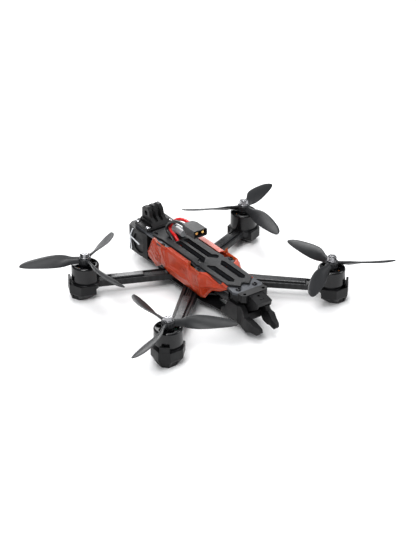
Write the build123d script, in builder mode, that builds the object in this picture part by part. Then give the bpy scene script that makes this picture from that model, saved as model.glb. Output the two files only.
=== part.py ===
from build123d import *
import os
from math import atan, cos, hypot, pi, radians, sin, tan

os.makedirs("parts", exist_ok=True)

# Five-inch racing quadcopter. Nose towards -Y, +Z up, ground at Z = 0, X = 0 is its mirror plane.

# Overall places
motor_x = 98.0              # half the side-to-side motor spacing
front_motor_y = -76.7
rear_motor_y = 70.7
arm_root_x = 9.0            # where each arm ends inside the frame
front_root_y = 8.2
rear_root_y = 32.9

# Plate stack, from the ground up
arm_under = 11.7            # ground to the arms' underside
arm_thickness = 6.0
bottom_thickness = 2.5
mid_thickness = 2.0
standoff_length = 20.0      # between the middle plate and the top plate
top_thickness = 2.5
pad_thickness = 2.0
arm_top = arm_under + arm_thickness
bottom_under = arm_under - bottom_thickness
mid_top = arm_top + mid_thickness
top_under = mid_top + standoff_length
top_face = top_under + top_thickness
pad_face = top_face + pad_thickness

# Fasteners
screw_r = 1.5               # M3 shank
screw_hole = 1.6
thread_hole = 1.55
head_r = 2.75
head_height = 1.6
standoff_r = 2.5
fit = 0.1                   # clearance between pieces of the same body
tab_x = 19.8                # middle standoffs, in the top plate's side tabs
tab_rear_y = 48.7
tab_front_y = -13.6
nose_x = 9.7                # front standoffs
nose_y = -67.3
tail_x = 14.3               # rear standoffs, under the camera finger mount
tail_front_y = 83.1
tail_rear_y = 101.7

# Motor, 22 mm stator and 7 mm stack
bell_r = 13.9
bell_wall = 1.6
bell_low = arm_top + 2.6
bell_top = arm_top + 19.0
base_thickness = 2.2
magnet_gap = 1.3            # magnets and air gap, between the bell's wall and the stator
stator_r = bell_r - bell_wall - magnet_gap
stack_height = 7.0
shaft_r = 2.0
bearing_r = 4.5
bearing_height = 3.0
bearing_tube_r = 5.2
running_fit = 0.05
motor_bolt_circle = 16.0
stud_r = 2.5                # M5 stud above the bell
base_bore = 3.0

# Propeller
prop_r = 65.4
hub_r = 6.6
hub_height = 6.6
prop_pitch = 118.0          # advance in one turn
nut_height = 5.0
nut_flats = 8.0
hub_low = bell_top + 0.3
hub_top = hub_low + hub_height
nut_top = hub_top + nut_height

# Electronics stack
stack_y = 16.0
stack_half = 10.0           # half the bolt spacing
stack_places = [(x, stack_y + y) for x in (-stack_half, stack_half) for y in (-stack_half, stack_half)]

left_right = (-1, 1)


def mirrored(points):
    # Closes a right-hand half outline, listed from rear to front, with its mirror image.
    left = [(-x, y) for x, y in reversed(points) if x > 0]
    return [*points, *left]


def both_sides(points):
    return [(side * x, y) for side in left_right for x, y in points]


def save(builder, label):
    builder.part.label = label
    export_step(builder.part, f"parts/{label}.step")


class Corner:
    # One arm's place: the motor centre and the direction that points out along the arm.
    def __init__(self, name, side, motor_y, root_y):
        self.name = name
        self.side = side
        self.centre = (side * motor_x, motor_y)
        run = (side * (motor_x - arm_root_x), motor_y - root_y)
        self.length = hypot(*run)
        self.out = (run[0] / self.length, run[1] / self.length)
        self.front = -side                  # sign of the local Y side that faces the nose
        self.is_front = motor_y < 0

    def plane(self, z):
        return Plane(origin=(*self.centre, z), x_dir=(*self.out, 0), z_dir=(0, 0, 1))

    def at(self, u, v):
        x = self.centre[0] + self.out[0] * u - self.out[1] * v
        y = self.centre[1] + self.out[1] * u + self.out[0] * v
        return (x, y)


corners = [
    Corner("front_left", -1, front_motor_y, front_root_y),
    Corner("front_right", 1, front_motor_y, front_root_y),
    Corner("rear_left", -1, rear_motor_y, rear_root_y),
    Corner("rear_right", 1, rear_motor_y, rear_root_y),
]

# ---------------------------------------------------------------- arms

arm_pad_r = 14.0
arm_tip_half = 6.5
arm_root_half = {True: 8.6, False: 7.2}     # front arms flare more than the rear ones
arm_neck = 12.0                             # from the motor centre to the start of the shank
channel_depth = 2.4           # deep enough for the motor leads to lie below the arm's top
channel_half = 4.6
channel_start = 13.4
channel_stop = 10.0           # the channel ends this far from the root end
channel_flare = {True: 2.4, False: 0.6}     # the channel opens towards the nose near the body
cover_half = 4.2
cover_sink = 1.2
cover_height = 3.0
cover_wall = 0.5
cover_start = 25.0
cover_end = {True: 88.0, False: 59.0}
arm_bolt_in = 6.5                           # from the root end
arm_bolt_spread = 4.2                       # to each side of the arm's middle


def arm_bolt_places(corner):
    return [corner.at(arm_bolt_in - corner.length, way * arm_bolt_spread) for way in left_right]


for corner in corners:
    root_half = arm_root_half[corner.is_front]
    flare = channel_half + channel_flare[corner.is_front]
    far = channel_stop - corner.length
    shank = [
        (-arm_neck, arm_tip_half),
        (-arm_neck, -arm_tip_half),
        (-corner.length, -root_half),
        (-corner.length, root_half),
    ]
    channel = [
        (-channel_start, -channel_half * corner.front),
        (-channel_start, channel_half * corner.front),
        (far / 2 - channel_start / 2, channel_half * corner.front),
        (far, flare * corner.front),
        (far, -channel_half * corner.front),
    ]
    with BuildPart() as arm:
        with BuildSketch(corner.plane(arm_under)):
            Polygon(*shank, align=None)
            Circle(arm_pad_r)
            Circle(base_bore, mode=Mode.SUBTRACT)
            with PolarLocations(motor_bolt_circle / 2, 4, start_angle=45):
                Circle(screw_hole, mode=Mode.SUBTRACT)
        extrude(amount=arm_thickness)
        chamfer(arm.faces().sort_by(Axis.Z)[-1].outer_wire().edges(), 0.5)
        with BuildSketch(corner.plane(arm_top - channel_depth)):
            Polygon(*channel, align=None)
        extrude(amount=channel_depth + 1, mode=Mode.SUBTRACT)
        with BuildSketch(Plane.XY.offset(arm_under)):
            with Locations(*arm_bolt_places(corner), *stack_places):
                Circle(screw_hole)
        extrude(amount=arm_thickness, mode=Mode.SUBTRACT)
    save(arm, f"arm_{corner.name}")

# Covers over the motor leads: a low hood along the channel with a sloped outer end.
for corner in corners:
    run = cover_end[corner.is_front] - cover_start
    cover_low = arm_top - cover_sink
    middle = -(cover_end[corner.is_front] + cover_start) / 2
    with BuildPart() as cover:
        with BuildSketch(corner.plane(cover_low)):
            with Locations((middle, 0)):
                Rectangle(run, cover_half * 2)
        extrude(amount=cover_height)
        top_edges = cover.faces().sort_by(Axis.Z)[-1].edges()
        chamfer(top_edges, 0.8)
        with BuildSketch(corner.plane(cover_low)):
            with Locations((middle, 0)):
                Rectangle(run + 2, (cover_half - cover_wall) * 2)
        extrude(amount=cover_height - cover_wall, mode=Mode.SUBTRACT)
    save(cover, f"lead_cover_{corner.name}")

# Three insulated leads from each motor, along the channel and up to the speed controller.
lead_r = 1.05
lead_gap = 0.1
lead_start = 14.0
lead_bend = 4.0
lead_rise_x = 22.2          # X where the leads start to rise through a slot in the middle plate
lead_top_x = 17.8           # and where they have risen
lead_board_x = 14.6
lead_low = arm_top - channel_depth + lead_r + lead_gap
lead_high = mid_top + lead_r + 0.6
lead_slot_half = 3 * lead_r + lead_gap + 0.4
with BuildPart() as motor_leads:
    for corner in corners:
        for n in (-1, 0, 1):
            v = n * (2 * lead_r + lead_gap)
            rise = (motor_x - lead_rise_x) / abs(corner.out[0])
            top = (motor_x - lead_top_x) / abs(corner.out[0])
            inner = (motor_x - lead_board_x) / abs(corner.out[0])
            with BuildLine() as route:
                stops = [
                    (*corner.at(-lead_start, v), lead_low),
                    (*corner.at(-rise, v), lead_low),
                    (*corner.at(-top, v), lead_high),
                    (*corner.at(-inner, v), lead_high),
                ]
                FilletPolyline(*stops, radius=lead_bend)
            start = Plane(origin=stops[0], z_dir=(-corner.out[0], -corner.out[1], 0))
            with BuildSketch(start):
                Circle(lead_r)
            sweep(path=route.wires()[0])
save(motor_leads, "motor_leads")

# ---------------------------------------------------------------- motors

base_top = arm_top + base_thickness
tube_top = bell_top - 4.6
stack_low = base_top + 2.4
core_top = stack_low + stack_height
winding_bulge = 1.5
winding_length = stator_r - bearing_tube_r - 1.6
bearing_places = (base_top - 1.4, tube_top - bearing_height)
window_count = 6

with BuildPart() as motor_bearings:
    for corner in corners:
        for z in bearing_places:
            with BuildSketch(corner.plane(z)):
                Circle(bearing_r)
                Circle(shaft_r + running_fit, mode=Mode.SUBTRACT)
            extrude(amount=bearing_height)
save(motor_bearings, "motor_bearings")

for corner in corners:
    with BuildPart() as base:
        with BuildSketch(corner.plane(arm_top)):
            Circle(bell_r - 1.0)
            Circle(base_bore, mode=Mode.SUBTRACT)
            with PolarLocations(motor_bolt_circle / 2, 4, start_angle=45):
                Circle(thread_hole, mode=Mode.SUBTRACT)
        extrude(amount=base_thickness)
        with BuildSketch(corner.plane(base_top - 1.4)):
            Circle(bearing_r + 0.02)
        extrude(amount=base_thickness, mode=Mode.SUBTRACT)
        with BuildSketch(corner.plane(base_top)):
            Circle(bearing_tube_r)
            Circle(bearing_r + 0.02, mode=Mode.SUBTRACT)
        extrude(amount=tube_top - base_top)
    save(base, f"motor_base_{corner.name}")

    with BuildPart() as stator:
        with BuildSketch(corner.plane(stack_low)):
            Circle(stator_r)
            Circle(bearing_tube_r + 0.02, mode=Mode.SUBTRACT)
            with PolarLocations(stator_r - 1.9, 12):
                RectangleRounded(4.4, 1.5, 0.6, mode=Mode.SUBTRACT)
        extrude(amount=stack_height)
        with BuildSketch(corner.plane(stack_low - winding_bulge)):
            with PolarLocations((stator_r + bearing_tube_r) / 2 - 0.2, 12, start_angle=15):
                RectangleRounded(winding_length, 1.9, 0.8)
        extrude(amount=winding_bulge)
        with BuildSketch(corner.plane(core_top)):
            with PolarLocations((stator_r + bearing_tube_r) / 2 - 0.2, 12, start_angle=15):
                RectangleRounded(winding_length, 1.9, 0.8)
        extrude(amount=winding_bulge)
    save(stator, f"stator_{corner.name}")

    with BuildPart() as bell:
        with BuildSketch(corner.plane(bell_low)):
            Circle(bell_r)
        extrude(amount=bell_top - bell_low)
        fillet(bell.faces().sort_by(Axis.Z)[-1].edges(), 2.2)
        with BuildSketch(corner.plane(bell_low)):
            Circle(bell_r - bell_wall)
        extrude(amount=bell_top - bell_low - 3.0, mode=Mode.SUBTRACT)
        with BuildSketch(corner.plane(bell_top - 5)):
            with PolarLocations(8.6, window_count, start_angle=30):
                RectangleRounded(4.6, 6.2, 1.2)
        extrude(amount=6, mode=Mode.SUBTRACT)
        with BuildSketch(corner.plane(arm_top + 0.6)):
            Circle(shaft_r)
        extrude(amount=bell_top - arm_top - 0.6)
        with BuildSketch(corner.plane(bell_top)):
            Circle(stud_r + 2.6)
        extrude(amount=hub_low - bell_top)
        with BuildSketch(corner.plane(bell_top)):
            Circle(stud_r)
        extrude(amount=nut_top + 0.7 - bell_top)
        chamfer(bell.faces().sort_by(Axis.Z)[-1].edges(), 0.4)
    save(bell, f"bell_{corner.name}")

    with BuildPart() as nut:
        with BuildSketch(corner.plane(hub_top)):
            Circle(nut_flats * 0.62)
            Circle(stud_r + fit / 2, mode=Mode.SUBTRACT)
        extrude(amount=1.0)
        with BuildSketch(corner.plane(hub_top + 1.0)):
            RegularPolygon(nut_flats / 2, 6, major_radius=False)
            Circle(stud_r + fit / 2, mode=Mode.SUBTRACT)
        extrude(amount=nut_height - 1.0)
    save(nut, f"prop_nut_{corner.name}")

# ---------------------------------------------------------------- propellers

# Radius, chord, thickness, and how far the section's middle sweeps back from the radial line.
blade_sections = [
    (5.4, 7.6, 3.0, 0.0),
    (14.0, 8.4, 2.3, -0.4),
    (27.0, 14.8, 1.8, -0.9),
    (42.0, 14.6, 1.4, 0.2),
    (54.0, 11.6, 1.1, 1.6),
    (61.5, 7.6, 0.9, 3.0),
    (65.0, 2.8, 0.6, 4.4),
]
first_blade = {"front_left": 90, "front_right": 90, "rear_left": 270, "rear_right": 270}
blade_root_z = hub_low + 3.7
blade_droop = 2.2           # how much lower the tips are than the roots
steepest_at = 17.0          # the pitch stops growing inside this radius

for corner in corners:
    turn = 1 if corner.name in ("front_left", "rear_right") else -1
    cx, cy = corner.centre
    blades = []
    for k in range(3):
        along = radians(first_blade[corner.name] + 120 * k)
        radial = Vector(cos(along), sin(along), 0)
        ahead = Vector(-sin(along), cos(along), 0) * turn
        with BuildPart() as blade:
            for radius, chord, thick, sweep_back in blade_sections:
                pitch = atan(prop_pitch / (2 * pi * max(radius, steepest_at)))
                lift = blade_root_z - blade_droop * radius / prop_r
                middle = Vector(cx, cy, lift) + radial * radius - ahead * sweep_back
                chord_way = ahead * cos(pitch) + Vector(0, 0, sin(pitch))
                with BuildSketch(Plane(origin=middle, x_dir=chord_way, z_dir=radial)):
                    Ellipse(chord / 2, thick / 2)
            loft()
        blades.append(blade.part)
    with BuildPart() as prop:
        with BuildSketch(corner.plane(hub_low)):
            Circle(hub_r)
        extrude(amount=hub_height)
        add(blades)
        with BuildSketch(corner.plane(hub_low)):
            Circle(stud_r + fit / 2)
        extrude(amount=hub_height, mode=Mode.SUBTRACT)
    save(prop, f"prop_{corner.name}")

# ---------------------------------------------------------------- feet

# Soft boots on the arm ends. Local outlines: U points out along the arm.
foot_rim = [(-8.5, -14.6), (7.0, -15.6), (17.2, -6.0), (17.2, 6.0), (7.0, 15.6), (-8.5, 14.6)]
foot_shrink = 0.56          # the ground face against the rim
foot_lean = 5.0             # the ground face sits this far out along the arm
foot_waist = 8.0            # height where the boot starts to narrow
flap_rise = 6.0
flap_half = 5.0
screw_pocket = head_r + 0.35
window_width = 7.0          # shallow window low on each slanted outer facet
window_height = 4.6
window_z = 4.2
window_depth = 1.4

for corner in corners:
    ground = [(u * foot_shrink + foot_lean, v * foot_shrink) for u, v in foot_rim]
    with BuildPart() as foot:
        with BuildSketch(corner.plane(0)):
            Polygon(*ground, align=None)
        with BuildSketch(corner.plane(foot_waist)):
            Polygon(*foot_rim, align=None)
        loft(ruled=True)
        with BuildSketch(corner.plane(foot_waist)):
            Polygon(*foot_rim, align=None)
        extrude(amount=arm_top - foot_waist)
        with BuildSketch(corner.plane(arm_top)):
            with Locations((16.0, 0)):
                Rectangle(2.2, flap_half * 2)
        extrude(amount=flap_rise)
        with BuildSketch(corner.plane(arm_under)):
            Circle(arm_pad_r + fit)
            with Locations((-20, 0)):
                Rectangle(40, arm_tip_half * 2 + 4 * fit)
        extrude(amount=arm_thickness + 0.01, mode=Mode.SUBTRACT)
        with BuildSketch(corner.plane(bottom_under - 0.6)):
            with PolarLocations(motor_bolt_circle / 2, 4, start_angle=45):
                Circle(screw_pocket)
        extrude(amount=4, mode=Mode.SUBTRACT)
        for way in left_right:
            facet = [(u, v * way) for u, v in foot_rim[3:5]]
            share = window_z / foot_waist
            middle = [sum(values) / 2 for values in zip(*facet)]
            low = [middle[0] * foot_shrink + foot_lean, middle[1] * foot_shrink]
            surface = [a + (b - a) * share for a, b in zip(low, middle)]
            reach = hypot(facet[0][0] - facet[1][0], facet[0][1] - facet[1][1])
            normal = (abs(facet[0][1] - facet[1][1]) / reach, way * abs(facet[0][0] - facet[1][0]) / reach)
            seat = corner.at(*[a - b * window_depth for a, b in zip(surface, normal)])
            facing = (
                corner.out[0] * normal[0] - corner.out[1] * normal[1],
                corner.out[1] * normal[0] + corner.out[0] * normal[1],
            )
            side_way = (-facing[1], facing[0], 0)
            with BuildSketch(Plane(origin=(*seat, window_z), x_dir=side_way, z_dir=(*facing, 0))):
                Rectangle(window_width, window_height)
            extrude(amount=8, mode=Mode.SUBTRACT)
    save(foot, f"foot_{corner.name}")

with BuildPart() as motor_screws:
    for corner in corners:
        with BuildSketch(corner.plane(arm_under - head_height)):
            with PolarLocations(motor_bolt_circle / 2, 4, start_angle=45):
                Circle(head_r)
                RegularPolygon(1.0, 6, mode=Mode.SUBTRACT)
        extrude(amount=head_height)
        with BuildSketch(corner.plane(arm_under)):
            with PolarLocations(motor_bolt_circle / 2, 4, start_angle=45):
                Circle(screw_r)
        extrude(amount=arm_thickness + base_thickness - 0.2)
save(motor_screws, "motor_screws")

# ---------------------------------------------------------------- frame plates

mid_standoffs = both_sides([(tab_x, tab_rear_y), (tab_x, tab_front_y)])
long_standoffs = both_sides([(nose_x, nose_y), (tail_x, tail_front_y), (tail_x, tail_rear_y)])
all_arm_bolts = [place for corner in corners for place in arm_bolt_places(corner)]
tab_half = 5.2
tab_reach = tab_x + 2.6
nose_front = nose_y - 6.2
tail_end = tail_rear_y + 4.3

bottom_outline = [
    (0, tail_end), (12, tail_end), (17.8, tail_rear_y), (17.8, tail_front_y - 4), (15.5, 66),
    (20.5, 54), (21.5, 46), (21.5, -22), (17.5, -34), (16.0, -50), (15.5, nose_y - 4),
    (11, nose_y - 9), (0, nose_y - 9),
]
with BuildPart() as bottom_plate:
    with BuildSketch(Plane.XY.offset(bottom_under)):
        Polygon(*mirrored(bottom_outline), align=None)
        with Locations(*long_standoffs, *all_arm_bolts, *stack_places):
            Circle(screw_hole, mode=Mode.SUBTRACT)
        with Locations((0, 62), (0, -38)):
            SlotOverall(22, 11, rotation=90, mode=Mode.SUBTRACT)
        with Locations((0, -6)):
            SlotOverall(12, 5, rotation=90, mode=Mode.SUBTRACT)
    extrude(amount=bottom_thickness)
    chamfer(bottom_plate.faces().sort_by(Axis.Z)[0].outer_wire().edges(), 0.4)
save(bottom_plate, "bottom_plate")

mid_outline = [
    (0, 60), (13, 60), (17, tab_rear_y + tab_half), (tab_reach, tab_rear_y + tab_half - 1),
    (tab_reach, 30), (19, 27), (19, 12), (tab_reach, 9),
    (tab_reach, tab_front_y - 4.5), (15, -24), (9, -30), (0, -30),
]
with BuildPart() as mid_plate:
    with BuildSketch(Plane.XY.offset(arm_top)):
        Polygon(*mirrored(mid_outline), align=None)
        with Locations(*mid_standoffs, *all_arm_bolts, *stack_places):
            Circle(screw_hole, mode=Mode.SUBTRACT)
        with Locations((0, 47)):
            SlotOverall(14, 8, rotation=90, mode=Mode.SUBTRACT)
    extrude(amount=mid_thickness)
    for corner in corners:
        slot_in = (motor_x - 17.2) / abs(corner.out[0])
        slot_out = (motor_x - 26.0) / abs(corner.out[0])
        with BuildSketch(corner.plane(arm_top)):
            with Locations((-(slot_in + slot_out) / 2, 0)):
                Rectangle(slot_in - slot_out, 2 * lead_slot_half)
        extrude(amount=mid_thickness, mode=Mode.SUBTRACT)
save(mid_plate, "mid_plate")

rail_half = 15.7
top_outline = [
    (0, tail_end), (13, tail_end), (17.8, tail_rear_y), (18.2, tail_front_y), (17.6, 60),
    (tab_reach, tab_rear_y + tab_half + 1.5), (tab_reach, tab_rear_y - tab_half), (17, 41.5),
    (rail_half, 39), (rail_half, 3.7), (17.3, -3), (17.3, tab_front_y + tab_half + 1),
    (tab_reach, tab_front_y + tab_half), (tab_reach, tab_front_y - tab_half), (16.4, -21),
    (15.6, -55), (17.5, nose_y - 1), (14.5, nose_front), (3.5, nose_front), (0, nose_front),
]
rear_pocket = [
    (1.6, 43), (7.9, 43), (7.9, 2), (11.8, -1.4), (11.8, -5), (8.4, -8), (4.6, -3.8), (1.6, -0.6),
]
front_pocket = [
    (3.2, -19.5), (8.6, -13.6), (10.1, -16), (10.1, -51), (6.6, -55.2), (3.0, -51.8),
]
pockets = [
    [(side * x, y) for x, y in outline] for side in left_right for outline in (rear_pocket, front_pocket)
]
lead_opening = [(-8.2, 44.5), (1.6, 44.5), (1.6, 56.0), (-8.2, 56.0)]     # the battery leads pass here
with BuildPart() as top_plate:
    with BuildSketch(Plane.XY.offset(top_under)):
        Polygon(*mirrored(top_outline), align=None)
        for outline in (*pockets, lead_opening):
            Polygon(*outline, align=None, mode=Mode.SUBTRACT)
        with Locations(*mid_standoffs, *long_standoffs):
            Circle(screw_hole, mode=Mode.SUBTRACT)
        with Locations(*both_sides([(tail_x - 1.3, 70)])):
            SlotOverall(5.4, 2.4, rotation=90, mode=Mode.SUBTRACT)
    extrude(amount=top_thickness)
    chamfer(top_plate.faces().sort_by(Axis.Z)[-1].outer_wire().edges(), 0.4)
save(top_plate, "top_plate")

pad_rear = 76.0
pad_outline = [
    (0, pad_rear), (13.4, pad_rear), (16.4, 71.5), (16.4, 60.5), (15.3, 57.5), (15.3, 3.7),
    (16.5, -3.9), (16.5, -7), (15.6, -9), (15.9, -23), (14.9, -55.5), (5.1, -65.1),
    (1.4, -61), (0, -61),
]
with BuildPart() as battery_pad:
    with BuildSketch(Plane.XY.offset(top_face)):
        Polygon(*mirrored(pad_outline), align=None)
        for outline in (*pockets, lead_opening):
            Polygon(*outline, align=None, mode=Mode.SUBTRACT)
        with Locations(*both_sides([(tail_x - 1.3, 70)])):
            SlotOverall(5.8, 2.8, rotation=90, mode=Mode.SUBTRACT)
    extrude(amount=pad_thickness)
    chamfer(battery_pad.faces().sort_by(Axis.Z)[-1].outer_wire().edges(), 0.5)
save(battery_pad, "battery_pad")

# Glossy hood over the electronics, seen through the top plate's pockets.
cowl_half = 15.2
cowl_rear = 40.0
cowl_front = -58.0
cowl_wall = 0.9
cowl_top = top_under - 0.2
cowl_low = 26.0
with BuildPart() as inner_cowl:
    with BuildSketch(Plane.XY.offset(cowl_low)):
        with Locations((0, (cowl_rear + cowl_front) / 2)):
            Rectangle(cowl_half * 2, cowl_rear - cowl_front)
    extrude(amount=cowl_top - cowl_low)
    fillet(inner_cowl.edges().filter_by(Axis.Y).sort_by(Axis.Z)[-2:], 5.5)
    with BuildSketch(Plane.XY.offset(cowl_low)):
        with Locations((0, (cowl_rear + cowl_front) / 2)):
            Rectangle((cowl_half - cowl_wall) * 2, cowl_rear - cowl_front + 2)
    extrude(amount=cowl_top - cowl_low - 5.0, mode=Mode.SUBTRACT)
    with BuildSketch(Plane.XY.offset(cowl_top - 5.2)):
        with Locations((0, (cowl_rear + cowl_front) / 2)):
            Rectangle(cowl_half * 2 - 10, cowl_rear - cowl_front + 2)
    extrude(amount=5.2 - cowl_wall, mode=Mode.SUBTRACT)
save(inner_cowl, "inner_cowl")

with BuildPart() as standoffs:
    with BuildSketch(Plane.XY.offset(mid_top)):
        with Locations(*mid_standoffs):
            Circle(standoff_r)
            Circle(thread_hole, mode=Mode.SUBTRACT)
    extrude(amount=standoff_length)
    with BuildSketch(Plane.XY.offset(arm_under)):
        with Locations(*long_standoffs):
            Circle(standoff_r)
            Circle(thread_hole, mode=Mode.SUBTRACT)
    extrude(amount=top_under - arm_under)
save(standoffs, "standoffs")

mount_base = 3.0            # flange of the camera finger mount under its screw heads


# Button-head screws: places, height of the head's seat, the way out of the head's top, shank length.
tail_screws = both_sides([(tail_x, tail_front_y), (tail_x, tail_rear_y)])
screw_rows = [
    (mid_standoffs, top_face, 1, 8.0),
    (both_sides([(nose_x, nose_y)]), top_face, 1, 8.0),
    (tail_screws, top_face + mount_base, 1, 11.0),
    (long_standoffs, bottom_under, -1, 8.0),
    (all_arm_bolts, bottom_under, -1, bottom_thickness + arm_thickness + mid_thickness),
]
with BuildPart() as frame_screws:
    for places, seat, way, shank in screw_rows:
        with BuildSketch(Plane.XY.offset(seat)):
            with Locations(*places):
                Circle(head_r)
                RegularPolygon(1.1, 6, mode=Mode.SUBTRACT)
        extrude(amount=head_height * way)
        with BuildSketch(Plane.XY.offset(seat)):
            with Locations(*places):
                Circle(screw_r)
        extrude(amount=-shank * way)
save(frame_screws, "frame_screws")

# ---------------------------------------------------------------- electronics

board_size = 28.0
board_thickness = 1.6
controller_z = mid_top + 3.0
flight_z = controller_z + board_thickness + 4.0


# Square boards on the stack bolts; chips are (x, y, width, length, height) on the board's top.
drivers = [(x, y, 4.6, 5.6, 1.0) for x in (-7.0, 0.0, 7.0) for y in (-5.0, 3.0)]
processors = [(0, 0, 9.0, 9.0, 1.1), (0, 9.6, 5.0, 3.6, 1.4), (-8.6, -1.0, 3.2, 4.2, 1.0)]
boards = {"speed_controller": (controller_z, drivers), "flight_controller": (flight_z, processors)}
for label, (z, chips) in boards.items():
    with BuildPart() as board:
        with BuildSketch(Plane.XY.offset(z)):
            with Locations((0, stack_y)):
                RectangleRounded(board_size, board_size, 2.5)
            with Locations(*stack_places):
                Circle(1.6, mode=Mode.SUBTRACT)
        extrude(amount=board_thickness)
        for x, y, width, length, height in chips:
            with BuildSketch(Plane.XY.offset(z + board_thickness)):
                with Locations((x, stack_y + y)):
                    Rectangle(width, length)
            extrude(amount=height)
    save(board, label)

with BuildPart() as stack_bolts:
    with BuildSketch(Plane.XY.offset(bottom_under - head_height)):
        with Locations(*stack_places):
            Circle(2.0)
    extrude(amount=head_height)
    with BuildSketch(Plane.XY.offset(bottom_under)):
        with Locations(*stack_places):
            Circle(1.0)
    extrude(amount=flight_z + board_thickness + 3.4 - bottom_under)
    with BuildSketch(Plane.XY.offset(flight_z + board_thickness + 1.0)):
        with Locations(*stack_places):
            RegularPolygon(2.0, 6, major_radius=False)
    extrude(amount=1.6)
save(stack_bolts, "stack_bolts")

with BuildPart() as stack_grommets:
    levels = [
        (mid_top, controller_z - mid_top),
        (controller_z + board_thickness, flight_z - controller_z - board_thickness),
        (flight_z + board_thickness, 1.0),
    ]
    for z, height in levels:
        with BuildSketch(Plane.XY.offset(z)):
            with Locations(*stack_places):
                Circle(2.3)
                Circle(1.0 + running_fit, mode=Mode.SUBTRACT)
        extrude(amount=height)
save(stack_grommets, "stack_grommets")

transmitter_y = 73.0
transmitter_size = 20.0
with BuildPart() as video_transmitter:
    with BuildSketch(Plane.XY.offset(arm_under)):
        with Locations((0, transmitter_y)):
            RectangleRounded(transmitter_size, transmitter_size, 1.5)
    extrude(amount=7.0)
    with BuildSketch(Plane.XY.offset(arm_under + 5.5)):
        with Locations((0, transmitter_y)):
            with GridLocations(2.6, 1, 7, 1):
                Rectangle(1.2, transmitter_size - 3)
    extrude(amount=1.5, mode=Mode.SUBTRACT)
save(video_transmitter, "video_transmitter")

# ---------------------------------------------------------------- soft mounts

# Camera finger mount over the tail: sloped base, two thick outer fingers and a thin middle one.
finger_hole = 2.6
outer_finger = 4.0
middle_finger = 3.0
finger_gap = 3.2
finger_span = 2 * outer_finger + middle_finger + 2 * finger_gap
finger_y = 95.0
finger_z = 55.8
finger_r = 6.8
block_top = 49.0
block_half = 10.6
flange_half = 17.6
flange_front = tail_front_y - 5.6
flange_rear = tail_rear_y + 4.8
with BuildPart() as action_mount:
    flange = [
        (0, flange_rear), (13.5, flange_rear), (flange_half, flange_rear - 4.2),
        (flange_half, flange_front + 3.2), (14.5, flange_front), (0, flange_front),
    ]
    with BuildSketch(Plane.XY.offset(top_face)):
        Polygon(*mirrored(flange), align=None)
    extrude(amount=mount_base)
    side_profile = [
        (flange_front + 1.0, top_face + 0.5), (flange_front + 5.0, block_top), (finger_y - 7.6, 52.5),
        (finger_y - 5.6, finger_z + 3.6), (finger_y - 2.0, finger_z + finger_r),
        (finger_y + 3.4, finger_z + finger_r), (finger_y + 7.4, finger_z + 3.6),
        (finger_y + 7.6, block_top), (finger_y + 8.6, top_face + 0.5),
    ]
    with BuildSketch(Plane.YZ):
        Polygon(*side_profile, align=None)
    extrude(amount=finger_span / 2, both=True)
    with BuildSketch(Plane.YZ):
        Polygon(
            (flange_front + 1.0, top_face + 0.5), (flange_front + 5.0, block_top),
            (finger_y + 7.6, block_top), (finger_y + 8.6, top_face + 0.5), align=None,
        )
    extrude(amount=block_half, both=True)
    with BuildSketch(Plane.XZ.offset(-finger_y)):
        with Locations(*both_sides([((middle_finger + finger_gap) / 2, block_top + 15)])):
            Rectangle(finger_gap, 30)
    extrude(amount=30, both=True, mode=Mode.SUBTRACT)
    with BuildSketch(Plane.YZ):
        with Locations((finger_y, finger_z)):
            Circle(finger_hole)
    extrude(amount=20, both=True, mode=Mode.SUBTRACT)
    with BuildSketch(Plane.XY.offset(top_face)):
        with Locations(*tail_screws):
            Circle(screw_hole)
    extrude(amount=10, mode=Mode.SUBTRACT)
    with BuildSketch(Plane.XY.offset(top_face + mount_base)):
        with Locations(*tail_screws):
            Circle(head_r + 0.4)
    extrude(amount=10, mode=Mode.SUBTRACT)
save(action_mount, "action_mount")

# Tail bumper between the plates: two cheeks round the rear standoffs joined by a curved back.
tail_half = 20.4
tail_wall = 3.0
tail_front = 79.0
tail_back = 114.0
with BuildPart() as tail_bumper:
    shell_outline = [
        (0, tail_back), (14.0, tail_back), (tail_half, tail_back - 4.5), (tail_half, 88),
        (18.4, tail_front), (0, tail_front),
    ]
    hollow_outline = [
        (0, tail_back - tail_wall), (9.4, tail_back - tail_wall), (11.0, 108.0), (11.0, tail_front - 1),
        (0, tail_front - 1),
    ]
    with BuildSketch(Plane.XY.offset(arm_under)):
        Polygon(*mirrored(shell_outline), align=None)
        Polygon(*mirrored(hollow_outline), align=None, mode=Mode.SUBTRACT)
        with Locations(*tail_screws):
            Circle(standoff_r + fit, mode=Mode.SUBTRACT)
    extrude(amount=top_under - arm_under)
    window = [(85, 16.5), (92, 14.5), (99.5, 17), (103, 24), (99, 34), (89.5, 36.5), (84.5, 30)]
    with BuildSketch(Plane.YZ.offset(tail_half - 1.4)):
        Polygon(*window, align=None)
    extrude(amount=4, mode=Mode.SUBTRACT)
    with BuildSketch(Plane.YZ.offset(1.4 - tail_half)):
        Polygon(*window, align=None)
    extrude(amount=-4, mode=Mode.SUBTRACT)
    with BuildSketch(Plane.XZ.offset(-tail_back)):
        with Locations((0, (arm_under + top_under) / 2)):
            RectangleRounded(12, 14, 2.5)
    extrude(amount=tail_wall + 2, mode=Mode.SUBTRACT)
save(tail_bumper, "tail_bumper")

# Receiver aerial: pale thin tubes along the outside of the left cheek, fanned out from one point.
aerial_r = 0.7
aerial_x = -(tail_half + aerial_r + 0.05)
aerial_knot = (107.0, 28.0)
aerial_ends = [(89.8, 24.9), (104.6, 13.6), (101.5, 38.2)]
with BuildPart() as receiver_aerial:
    for y, z in aerial_ends:
        run = Vector(0, y - aerial_knot[0], z - aerial_knot[1])
        with BuildSketch(Plane(origin=(aerial_x, *aerial_knot), z_dir=run)):
            Circle(aerial_r)
        extrude(amount=run.length)
save(receiver_aerial, "receiver_aerial")

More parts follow.
